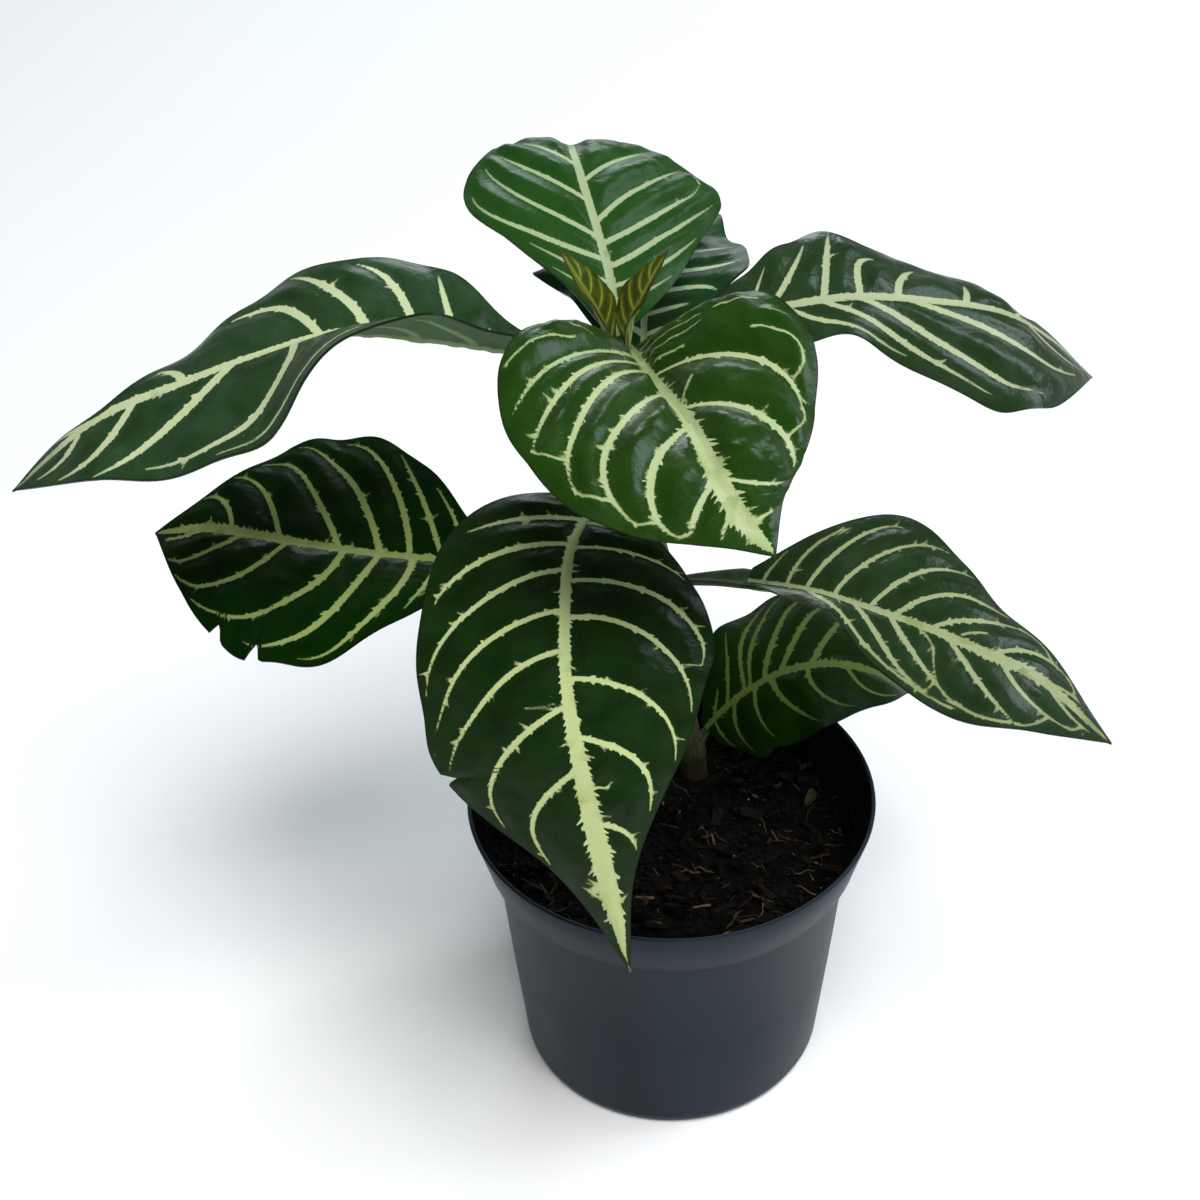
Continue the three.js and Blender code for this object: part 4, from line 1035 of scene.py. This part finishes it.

# Each leaf points along its heading, in degrees from +X. petiole and midrib are places in mm, from
# the stem to the tip. For each side, half is the blade's width from the midrib in mm at even steps
# along it, lift the slope away from the midrib, droop how far that has turned down at the margin,
# and nicks the tears, by place, depth and reach. A vein starts on the midrib and passes one turning
# point to its end, in shares of the blade's length and of its width on that side. A hair starts off
# the midrib, a loop joins a vein's end to the next vein, and wing is how far the stalk widens to the
# left and to the right.
# Painted light and shade: each grown leaf's paint colours are its own tint scaled to how lit the leaf
# looks in place, so leaves in shade are painted darker, leaf_low_left and leaf_bottom most.
LEAVES = [
    dict(
        name="leaf_front", node="middle", heading=269, petiole=[(-14, 0, 219)],
        midrib=[(-20, -12, 223), (-27, -34, 222), (-28, -56, 217), (-27, -75, 206), (-23, -89, 188),
                (-18, -98, 166), (-11, -104, 131)],
        left=dict(half=[2, 25, 34, 40, 38, 32, 20, 7, 0], lift=[25, 12, 5, -3, -8, -10, -20],
                  droop=[25, 25, 20, 15]),
        right=dict(half=[2, 23, 33.5, 38, 40.5, 41.5, 41, 41.5, 37, 27.5, 15.5, 6.5, 0],
                   lift=[28, 13, 1, -5, -8, -5, 0], droop=[25, 25, 20, 10], nicks=[(0.635, 4, 1.6)]),
        wave=(0.8, 5), bulge=0.9, vein=0.85, spurs=0.9, spike_gap=20,
        rib=[0.9, 1.2, 1.35, 1.4, 1.5, 1.9, 2.4, 2.4, 0.4], rib_spikes=7, tooth=1, shine=0.12, gloss=0.28,
        veins=dict(
            right=[
                (0.03, 0.05, 0.5, 0.06, 0.9, 0.5), (0.08, 0.12, 0.44, 0.17, 0.86),
                (0.16, 0.22, 0.83, 0.29, 0.91), (0.23, 0.29, 0.81, 0.47, 0.95),
                (0.33, 0.37, 0.66, 0.54, 0.92), (0.42, 0.44, 0.47, 0.62, 0.92),
                (0.53, 0.59, 0.6, 0.75, 0.9), (0.65, 0.71, 0.52, 0.83, 0.9),
                (0.86, 0.87, 0.25, 0.885, 0.55, 1.1)],
            left=[
                (0.09, 0.09, 0.27, 0.12, 0.75, 0.8), (0.17, 0.16, 0.88, 0.24, 0.95, 0.8),
                (0.26, 0.26, 0.97, 0.45, 0.93), (0.35, 0.33, 0.73, 0.59, 0.94),
                (0.48, 0.48, 0.55, 0.68, 0.93), (0.59, 0.65, 0.64, 0.77, 0.86),
                (0.69, 0.69, 0.13, 0.7, 0.25, 0.5), (0.76, 0.78, 0.45, 0.83, 0.85, 0.9),
                (0.885, 0.89, 0.2, 0.9, 0.5, 0.8)]),
        hairs=dict(
            right=[
                (0.525, 0.1, 0.53, 0.15, 0.525, 0.28, 0.22)],
            left=[
                (0.45, 0.93, 0.46, 0.97, 0.455, 0.8, 0.2)]),
        paint=("#0e2208", "#183011", "#b2bf85", "#9ea96d", "#111d0c"),
    ),
    dict(
        name="leaf_heart", node="top", heading=293, petiole=[(-12.5, 1.5, 261)],
        midrib=[(-11, -2, 264), (-6, -18, 266), (-1, -34, 269), (5, -52, 271), (10, -68, 269),
                (16, -78, 263), (25, -86, 256)],
        left=dict(half=[2, 34, 42, 40.5, 33.5, 27, 22.5, 13, 0], lift=[50, 40, 25, 15, 5, 0],
                  droop=[20, 35, 40, 30, 10]),
        right=dict(half=[2, 33, 43, 46, 44.5, 39.5, 27, 9.5, 0], lift=[55, 42, 25, 15, 5, 0],
                   droop=[20, 35, 40, 30, 10]),
        wave=(0.6, 4), bulge=2.3, vein=0.95, foot=0.4, spurs=0.9, spike_gap=14,
        rib=[1.5, 1.6, 1.6, 1.7, 2.0, 2.3, 2.6, 2.3, 0.5], rib_spikes=9, tooth=1.4, gloss=0.26,
        veins=dict(
            right=[
                (0.05, 0.31, 0.8, 0.38, 0.93, 0.6), (0.1, 0.39, 0.78, 0.5, 0.93, 0.75),
                (0.15, 0.46, 0.68, 0.63, 0.88, 0.95), (0.32, 0.56, 0.62, 0.74, 0.85),
                (0.49, 0.66, 0.41, 0.81, 0.87, 1.1), (0.7, 0.79, 0.36, 0.82, 0.79),
                (0.82, 0.85, 0.38, 0.87, 0.76, 0.6)],
            left=[
                (0.19, 0.38, 0.8, 0.5, 0.89), (0.41, 0.56, 0.9, 0.73, 0.9, 1.1),
                (0.69, 0.79, 0.42, 0.8, 0.9, 0.85),
                (0.88, 0.88, 0.38, 0.89, 0.75, 0.6)]),
        loops=dict(right=[(1, 0.78), (2, 0.78), (3, 0.82), (4, 0.9)], left=[(0, 0.6)]),
        hairs=dict(
            right=[
                (0.12, 0.86, 0.14, 0.71, 0.14, 0.52, 0.2), (0.18, 0.61, 0.22, 0.85, 0.28, 0.96, 0.33),
                (0.06, 0.1, 0.17, 0.4, 0.23, 0.55, 0.22)],
            left=[
                (0.03, 0.1, 0.08, 0.4, 0.11, 0.8, 0.15), (0.12, 0.1, 0.16, 0.35, 0.17, 0.5, 0.2),
                (0.08, 0.08, 0.12, 0.3, 0.14, 0.58, 0.16),
                (0.15, 0.64, 0.17, 0.76, 0.19, 0.87, 0.25), (0.16, 0.08, 0.19, 0.19, 0.21, 0.3, 0.22),
                (0.28, 0.67, 0.33, 0.94, 0.4, 0.89, 0.36), (0.23, 0.8, 0.25, 0.86, 0.26, 0.92, 0.2),
                (0.39, 0.06, 0.37, 0.12, 0.35, 0.19, 0.4), (0.4, 0.89, 0.42, 0.86, 0.43, 0.8, 0.25)]),
        paint=("#173307", "#244211", "#a5b382", "#8c9d64", "#19260e"),
    ),
    dict(
        name="leaf_left", node="upper", heading=187, petiole=[(-21, 6, 250)],
        midrib=[(-31, 4, 258), (-45, 2, 263), (-65, -1, 268), (-87, -5, 272), (-109, -10, 268),
                (-130, -15, 262), (-154, -20, 253), (-178, -25, 234)],
        left=dict(half=[2, 9, 14, 19.5, 29, 30.5, 27, 19, 0],
                  lift=[45, 55, 55, 45, 12, -15, -25, -20, -10], droop=[10, 10, 10, 5, 10]),
        right=dict(half=[2, 5.5, 11.5, 24, 29.5, 26.5, 31, 22, 17, 11, 2.5, 4, 0],
                   lift=[40, 35, 30, 25, 20, 15, 15, 20, 15], droop=[10, 20, 20, 20, 10]),
        wave=(1.6, 5), bulge=1.0, vein=1.25, spike_gap=26,
        rib=[0.9, 0.9, 1.0, 1.0, 1.0, 1.1, 1.3, 1.2, 0.4], rib_spikes=3, tooth=0.8, shine=0.14, gloss=0.28,
        veins=dict(
            right=[
                (0.17, 0.17, 0.18, 0.18, 0.36, 0.8), (0.24, 0.26, 0.44, 0.27, 0.87, 0.8),
                (0.31, 0.34, 0.7, 0.4, 0.9), (0.39, 0.42, 0.54, 0.5, 0.94),
                (0.47, 0.53, 0.77, 0.61, 0.84), (0.71, 0.72, 0.4, 0.75, 0.78, 0.9),
                (0.86, 0.88, 0.4, 0.92, 0.8, 0.7)],
            left=[
                (0.2, 0.24, 0.5, 0.33, 0.85, 0.8), (0.3, 0.38, 0.9, 0.69, 0.94, 0.6),
                (0.515, 0.51, 0.85, 0.8, 0.86), (0.62, 0.75, 0.4, 0.88, 0.95),
                (0.79, 0.86, 0.57, 0.93, 0.88, 0.8), (0.88, 0.9, 0.35, 0.96, 0.6, 0.6)]),
        paint=("#1d351a", "#2e472e", "#b2be93", "#95a37b", "#142211"),
    ),
    dict(
        name="leaf_right", node="upper", heading=14, petiole=[(-2, 9.5, 252)],
        midrib=[(8, 10, 262), (20, 13, 266), (32, 16, 268), (50, 21, 268), (70, 27, 264),
                (94, 33, 257), (110, 37, 246), (125, 40, 231)],
        left=dict(half=[2, 7.5, 12.5, 16, 21, 27, 19, 20.5, 13, 10, 8, 5, 0],
                  lift=[40, 38, 35, 30, 20, 10, 0], droop=[10, 20, 30, 35, 20]),
        right=dict(half=[2, 10, 12, 12, 17.5, 29, 31.5, 24.5, 0], lift=[0, -10, -20, -25, -20, -10],
                   droop=[10, 20, 30, 20, 10]),
        wave=(1.6, 5), bulge=1.0, vein=1, spike_gap=60,
        rib=[0.9, 1.0, 1.1, 1.2, 1.2, 1.1, 1.0, 0.8, 0.4], rib_spikes=2, tooth=0.5,
        veins=dict(
            right=[
                (0.28, 0.35, 0.9, 0.53, 0.85, 0.7), (0.36, 0.45, 0.75, 0.69, 0.88, 0.9),
                (0.44, 0.58, 0.68, 0.82, 0.83), (0.54, 0.73, 0.36, 0.93, 0.54),
                (0.78, 0.86, 0.2, 0.95, 0.3, 0.5)],
            left=[
                (0.17, 0.2, 0.45, 0.26, 0.8, 0.7), (0.23, 0.31, 0.38, 0.37, 0.85, 0.9),
                (0.37, 0.4, 0.47, 0.43, 0.93), (0.45, 0.45, 0.59, 0.5, 0.7),
                (0.53, 0.53, 0.34, 0.58, 0.58), (0.65, 0.66, 0.29, 0.66, 0.6, 0.8),
                (0.75, 0.77, 0.3, 0.8, 0.6, 0.6)]),
        paint=("#1a2f15", "#293e25", "#9fa983", "#818e6b", "#182414"),
    ),
    dict(
        name="leaf_low_left", node="low", heading=174, petiole=[(-18, 15, 178), (-36, 16, 179)],
        midrib=[(-52, 17, 179), (-69, 18, 180), (-90, 20, 181), (-110, 22, 183), (-126, 24, 185),
                (-141, 26, 186), (-158, 28, 183)],
        left=dict(half=[2, 14, 29, 44, 46, 43.5, 35, 23, 0], lift=[10, 0, -5, -5, 0],
                  droop=[10, 15, 20, 15], nicks=[(0.55, 7, 2), (0.68, 5.5, 2)]),
        right=dict(half=[2, 17, 34, 45, 46, 42, 30, 14, 0], lift=[25, 20, 15, 15, 20], droop=[0, 5, 10]),
        wave=(0.8, 5), bulge=0.9, vein=0.9, spurs=0.7, spike_gap=20,
        rib=[1.0, 1.1, 1.2, 1.3, 1.4, 1.6, 1.8, 1.7, 0.5], rib_spikes=7, tooth=1.2, shine=0.08, gloss=0.3,
        veins=dict(
            right=[
                (0.08, 0.12, 0.75, 0.22, 0.86, 0.8), (0.17, 0.22, 0.65, 0.33, 0.95, 0.8),
                (0.25, 0.29, 0.85, 0.5, 0.95, 0.9), (0.32, 0.41, 0.72, 0.64, 0.94),
                (0.42, 0.53, 0.55, 0.74, 0.94), (0.59, 0.69, 0.51, 0.81, 0.94),
                (0.75, 0.81, 0.54, 0.88, 0.93, 0.9)],
            left=[
                (0.18, 0.17, 0.46, 0.23, 0.87, 0.9), (0.24, 0.23, 0.96, 0.44, 0.95),
                (0.32, 0.4, 1, 0.59, 0.88, 1.1), (0.41, 0.42, 0.63, 0.81, 0.92, 1.1),
                (0.56, 0.67, 0.54, 0.89, 0.93), (0.7, 0.85, 0.41, 0.93, 0.9, 0.9),
                (0.83, 0.95, 0.24, 0.96, 0.55, 0.7)]),
        # Painted shade: these colours are darker for the shade under the leaves above.
        paint=("#041c02", "#0d2a05", "#8a995a", "#72824c", "#0a1107"),
    ),
    dict(
        name="leaf_low_right", node="low", heading=336, petiole=[(5, 8, 181), (14, 1, 186)],
        wing=(3.4, 0.8),
        midrib=[(22, -6, 190), (40, -16, 194), (55, -24, 194), (71, -32, 193), (86, -39, 190),
                (103, -45, 184), (123.5, -50, 165.5)],
        left=dict(half=[4.4, 20.5, 34.5, 34.5, 29.5, 20.5, 17.5, 9.5, 0.5], lift=[30, 25, 20, 10, 0],
                  droop=[10, 20, 20, 10]),
        right=dict(half=[2.5, 7, 8, 15, 21, 22, 22, 14, 0], lift=[30, 10, -10, -10, 0],
                   droop=[10, 20, 20, 10]),
        wave=(1, 4), bulge=0.8, vein=0.8, spurs=0.8, spike_gap=18,
        rib=[0.8, 0.8, 0.9, 1.0, 1.2, 1.5, 1.8, 1.5, 0.4], rib_spikes=5, tooth=1.2,
        veins=dict(
            right=[
                (0.16, 0.18, 1, 0.66, 0.89, 0.8), (0.29, 0.42, 0.82, 0.57, 0.89),
                (0.4, 0.45, 0.45, 0.66, 0.82, 1.1), (0.46, 0.53, 0.14, 0.56, 0.34, 0.5),
                (0.56, 0.7, 0.43, 0.81, 0.9), (0.72, 0.79, 0.44, 0.91, 0.71, 0.9),
                (0.84, 0.9, 0.3, 0.95, 0.5, 0.7)],
            left=[
                (0.04, 0.04, 0.49, 0.07, 0.9, 0.6), (0.1, 0.1, 0.9, 0.19, 0.85, 0.7),
                (0.15, 0.18, 0.87, 0.32, 0.86, 0.9), (0.23, 0.25, 0.53, 0.46, 0.94),
                (0.34, 0.4, 0.58, 0.55, 0.94), (0.41, 0.51, 0.61, 0.7, 0.94),
                (0.51, 0.62, 0.47, 0.74, 0.85), (0.69, 0.77, 0.47, 0.88, 0.83),
                (0.84, 0.88, 0.3, 0.92, 0.5, 0.6)]),
        loops=dict(right=[(0, 0.7), (1, 0.8), (2, 0.8), (4, 0.8), (5, 0.8)], left=[(6, 0.8), (7, 0.8)]),
        hairs=dict(
            right=[
                (0.6, 0.14, 0.64, 0.2, 0.66, 0.3, 0.35), (0.66, 0.8, 0.72, 0.92, 0.8, 0.9, 0.4)],
            left=[
                (0.6, 0.1, 0.62, 0.2, 0.66, 0.32, 0.4)]),
        paint=("#182b12", "#293d26", "#929c72", "#788352", "#162211"),
    ),
    dict(
        name="leaf_bottom", node="base", heading=25, petiole=[],
        midrib=[(11, 25, 107), (17, 28, 112.5), (25, 32.5, 117), (38, 39, 120), (53, 45, 118),
                (69, 50, 110), (81, 54, 98)],
        left=dict(half=[2, 9, 17, 26, 29.5, 35, 34, 20, 0], lift=[20, 20, 15, 18, 10],
                  droop=[10, 10, 20, 10]),
        right=dict(half=[7, 20, 22, 24, 25, 22, 18, 11, 0], lift=[-32, -18, -10, -10, 0],
                   droop=[10, 20, 20, 10]),
        wave=(0.8, 4), bulge=0.8, vein=0.8, spike_gap=30,
        rib=[0.8, 0.9, 1.0, 1.0, 1.2, 1.4, 1.6, 1.4, 0.4], rib_spikes=6, tooth=1.2, shine=0.03, gloss=0.34,
        veins=dict(
            right=[
                (0.08, 0.03, 0.5, 0.05, 0.9, 0.9), (0.26, 0.1, 0.35, 0.13, 0.87),
                (0.37, 0.25, 0.55, 0.3, 0.86, 0.9), (0.43, 0.4, 0.59, 0.53, 0.9),
                (0.58, 0.51, 0.57, 0.71, 0.88), (0.72, 0.73, 0.81, 0.9, 0.8, 0.8)],
            left=[
                (0.08, 0.15, 0.35, 0.23, 0.47, 0.7), (0.19, 0.32, 0.41, 0.4, 0.87, 0.8),
                (0.32, 0.43, 0.87, 0.56, 0.95, 0.8), (0.35, 0.47, 0.81, 0.62, 0.95, 0.7),
                (0.41, 0.52, 0.57, 0.7, 0.95), (0.47, 0.63, 0.48, 0.76, 0.95),
                (0.59, 0.74, 0.44, 0.81, 0.95)]),
        # Painted shade: these colours are darker for the shade under the leaves above.
        paint=("#0a2203", "#162e08", "#576733", "#4a5929", "#0b1307"),
    ),
    dict(
        name="leaf_top", node="top", heading=101, petiole=[],
        midrib=[(-15, 15, 259), (-17, 26, 270), (-21, 39, 280), (-25, 52, 287), (-28, 65, 290),
                (-30, 77, 288), (-31, 87, 278), (-31, 92, 262)],
        left=dict(half=[2, 12.5, 24, 34.5, 32.5, 24, 18, 8, 0], lift=[15, 22, 19, 13, 11, 12, 10, 5],
                  droop=[10, 20, 20, 20]),
        right=dict(half=[2, 18, 33, 44, 45, 38, 26, 11, 0], lift=[5, -3, -14, -11, -8, -3, 0, 0],
                   droop=[10, 20, 20, 20]),
        wave=(0.8, 4), bulge=1.7, vein=0.8, spike_gap=60,
        rib=[1.2, 1.3, 1.3, 1.25, 1.2, 1.1, 1.0, 0.9, 0.4], rib_spikes=2, tooth=0.35,
        shine=0.12, gloss=0.3,
        veins=dict(
            right=[
                (0.1, 0.08, 0.47, 0.15, 0.89, 0.7), (0.13, 0.15, 0.8, 0.26, 0.94, 0.8),
                (0.18, 0.22, 0.74, 0.43, 0.94), (0.24, 0.3, 0.63, 0.52, 0.87),
                (0.3, 0.45, 0.47, 0.63, 0.88), (0.44, 0.61, 0.37, 0.7, 0.73)],
            left=[
                (0.11, 0.1, 0.63, 0.19, 0.88, 0.7), (0.14, 0.16, 0.57, 0.26, 0.84, 0.8),
                (0.2, 0.25, 0.91, 0.42, 0.93), (0.26, 0.31, 0.42, 0.53, 0.86),
                (0.37, 0.49, 0.37, 0.58, 0.81), (0.51, 0.63, 0.27, 0.67, 0.73)]),
        hairs=dict(
            right=[
                (0.52, 0.87, 0.56, 0.88, 0.58, 0.82, 0.4)]),
        paint=("#1a3d10", "#274a1e", "#94a47c", "#788866", "#1a2813"),
    ),
    dict(
        name="leaf_back", node="middle", heading=90, petiole=[(-9, 20, 223)],
        midrib=[(-8, 29, 232), (-8, 42, 243), (-8, 55, 249), (-8, 69, 252), (-8, 83, 252),
                (-8, 97, 247), (-8, 109, 237), (-9, 118, 222)],
        left=dict(half=[2, 11, 19, 26, 35.5, 31, 21, 10, 0], lift=[15, 5, 0, -5, -5, -5],
                  droop=[10, 20, 15, 10]),
        right=dict(half=[2, 17, 33, 32, 26, 24, 18, 10, 0], lift=[35, 44, 36, 24, 25, 28, 25, 20],
                   droop=[10, 20, 15, 10]),
        wave=(1.2, 5), bulge=1.0, vein=1, spike_gap=60,
        rib=[0.9, 1.0, 1.1, 1.1, 1.0, 1.0, 0.9, 0.8, 0.4], rib_spikes=2, tooth=0.3, shine=0.1, gloss=0.3,
        veins=dict(
            right=[
                (0.15, 0.15, 0.2, 0.15, 0.45, 0.8), (0.22, 0.2, 0.3, 0.19, 0.65, 0.9),
                (0.3, 0.25, 0.5, 0.2, 0.93), (0.4, 0.28, 0.65, 0.33, 0.94),
                (0.48, 0.44, 0.4, 0.41, 0.88), (0.6, 0.58, 0.5, 0.62, 0.85),
                (0.72, 0.74, 0.5, 0.78, 0.8)],
            left=[
                (0.15, 0.2, 0.5, 0.25, 0.88), (0.27, 0.32, 0.5, 0.38, 0.9),
                (0.39, 0.44, 0.5, 0.5, 0.9), (0.51, 0.56, 0.5, 0.62, 0.9),
                (0.64, 0.7, 0.5, 0.76, 0.86), (0.77, 0.82, 0.4, 0.88, 0.8)]),
        paint=("#133115", "#214726", "#a9ba90", "#8a9d78", "#141d13"),
    ),
]

for seed, leaf in enumerate(LEAVES):
    skin = leaf_paint(leaf["name"] + "_upper_skin", *leaf["paint"], leaf["tooth"],
                      gloss=leaf.get("gloss", GLOSS), shine=leaf.get("shine", SHINE))
    made = blade(leaf, 100 + seed, skin, below)
    stalk_piece = petiole(leaf)
    stalk_piece.data.materials.append(stalk)
    bpy.ops.object.select_all(action="DESELECT")
    stalk_piece.select_set(True)
    made.select_set(True)
    bpy.context.view_layer.objects.active = made
    bpy.ops.object.join()
    made.name = leaf["name"] + "_grown"
    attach(made, "root")
    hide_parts(leaf["name"])

# ---------------------------------------------------------------- young leaves
# The newest pair, still narrow and folded upright at the tip: thin and olive, darker between a few
# yellow-green veins, with a thin brown margin. The far side of each stands up behind the near one.

FAR_VEINS = [(0.06 + 0.15 * i, 0.14 + 0.15 * i, 0.6, 0.26 + 0.15 * i, 0.88) for i in range(5)]
NEAR_VEINS = [(0.03, 0.25, 0.75, 0.9, 0.5)]
FAR_SIDE = dict(half=[1.2, 2.5, 4.5, 6, 6, 5, 3.5, 1.8, 0], lift=[60, 55, 45, 35], droop=[10, 15, 10])
YOUNG = [
    dict(name="young_leaf_left", heading=170, veins=dict(left=NEAR_VEINS, right=FAR_VEINS),
         midrib=[(-16, 7.5, 260), (-18.5, 6.5, 268), (-22, 6.5, 276), (-26, 7, 283), (-30, 8, 290)],
         left=dict(half=[1.2, 2, 3.2, 4, 4, 3.5, 2.6, 1.6, 0], lift=[50, 30, 10, 5], droop=[10, 15, 10]),
         right=FAR_SIDE),
    dict(name="young_leaf_right", heading=12, veins=dict(left=FAR_VEINS, right=NEAR_VEINS),
         midrib=[(-12, 7.5, 260), (-11.5, 6.5, 268), (-8, 6.5, 276), (-4.5, 7, 283), (-1, 8, 289)],
         left=FAR_SIDE,
         right=dict(half=[1.2, 2.5, 4, 4.8, 4.8, 4, 3, 1.6, 0], lift=[50, 30, 15, 10],
                    droop=[10, 15, 10])),
]
young_skin = leaf_paint("young_leaf_olive_skin", "#26260c", "#4d5a18", "#838f3a", "#6d7b2a", "#47301a",
                        tooth=0.2, dots=0, gloss=0.42, shine=0.12, margin=0.05, halo=1.1, halo_strength=1)
young_below = leaf_paint("young_leaf_underside", "#4a5222", "#5f6c2c", "#8f9c48", "#7f8c3c", "#4a2c1e",
                         tooth=0.15, dots=0, gloss=0.55, margin=0.2)
for seed, leaf in enumerate(YOUNG):
    leaf.update(young=True, wave=(0.3, 3), bulge=0.35, vein=0.34, rib=[0.6, 0.5, 0.45, 0.4, 0.25],
                spike_gap=50, rib_spikes=0)
    made = blade(leaf, 300 + seed, young_skin, young_below)
    made.name = leaf["name"] + "_grown"
    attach(made, "root")
    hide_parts(leaf["name"])
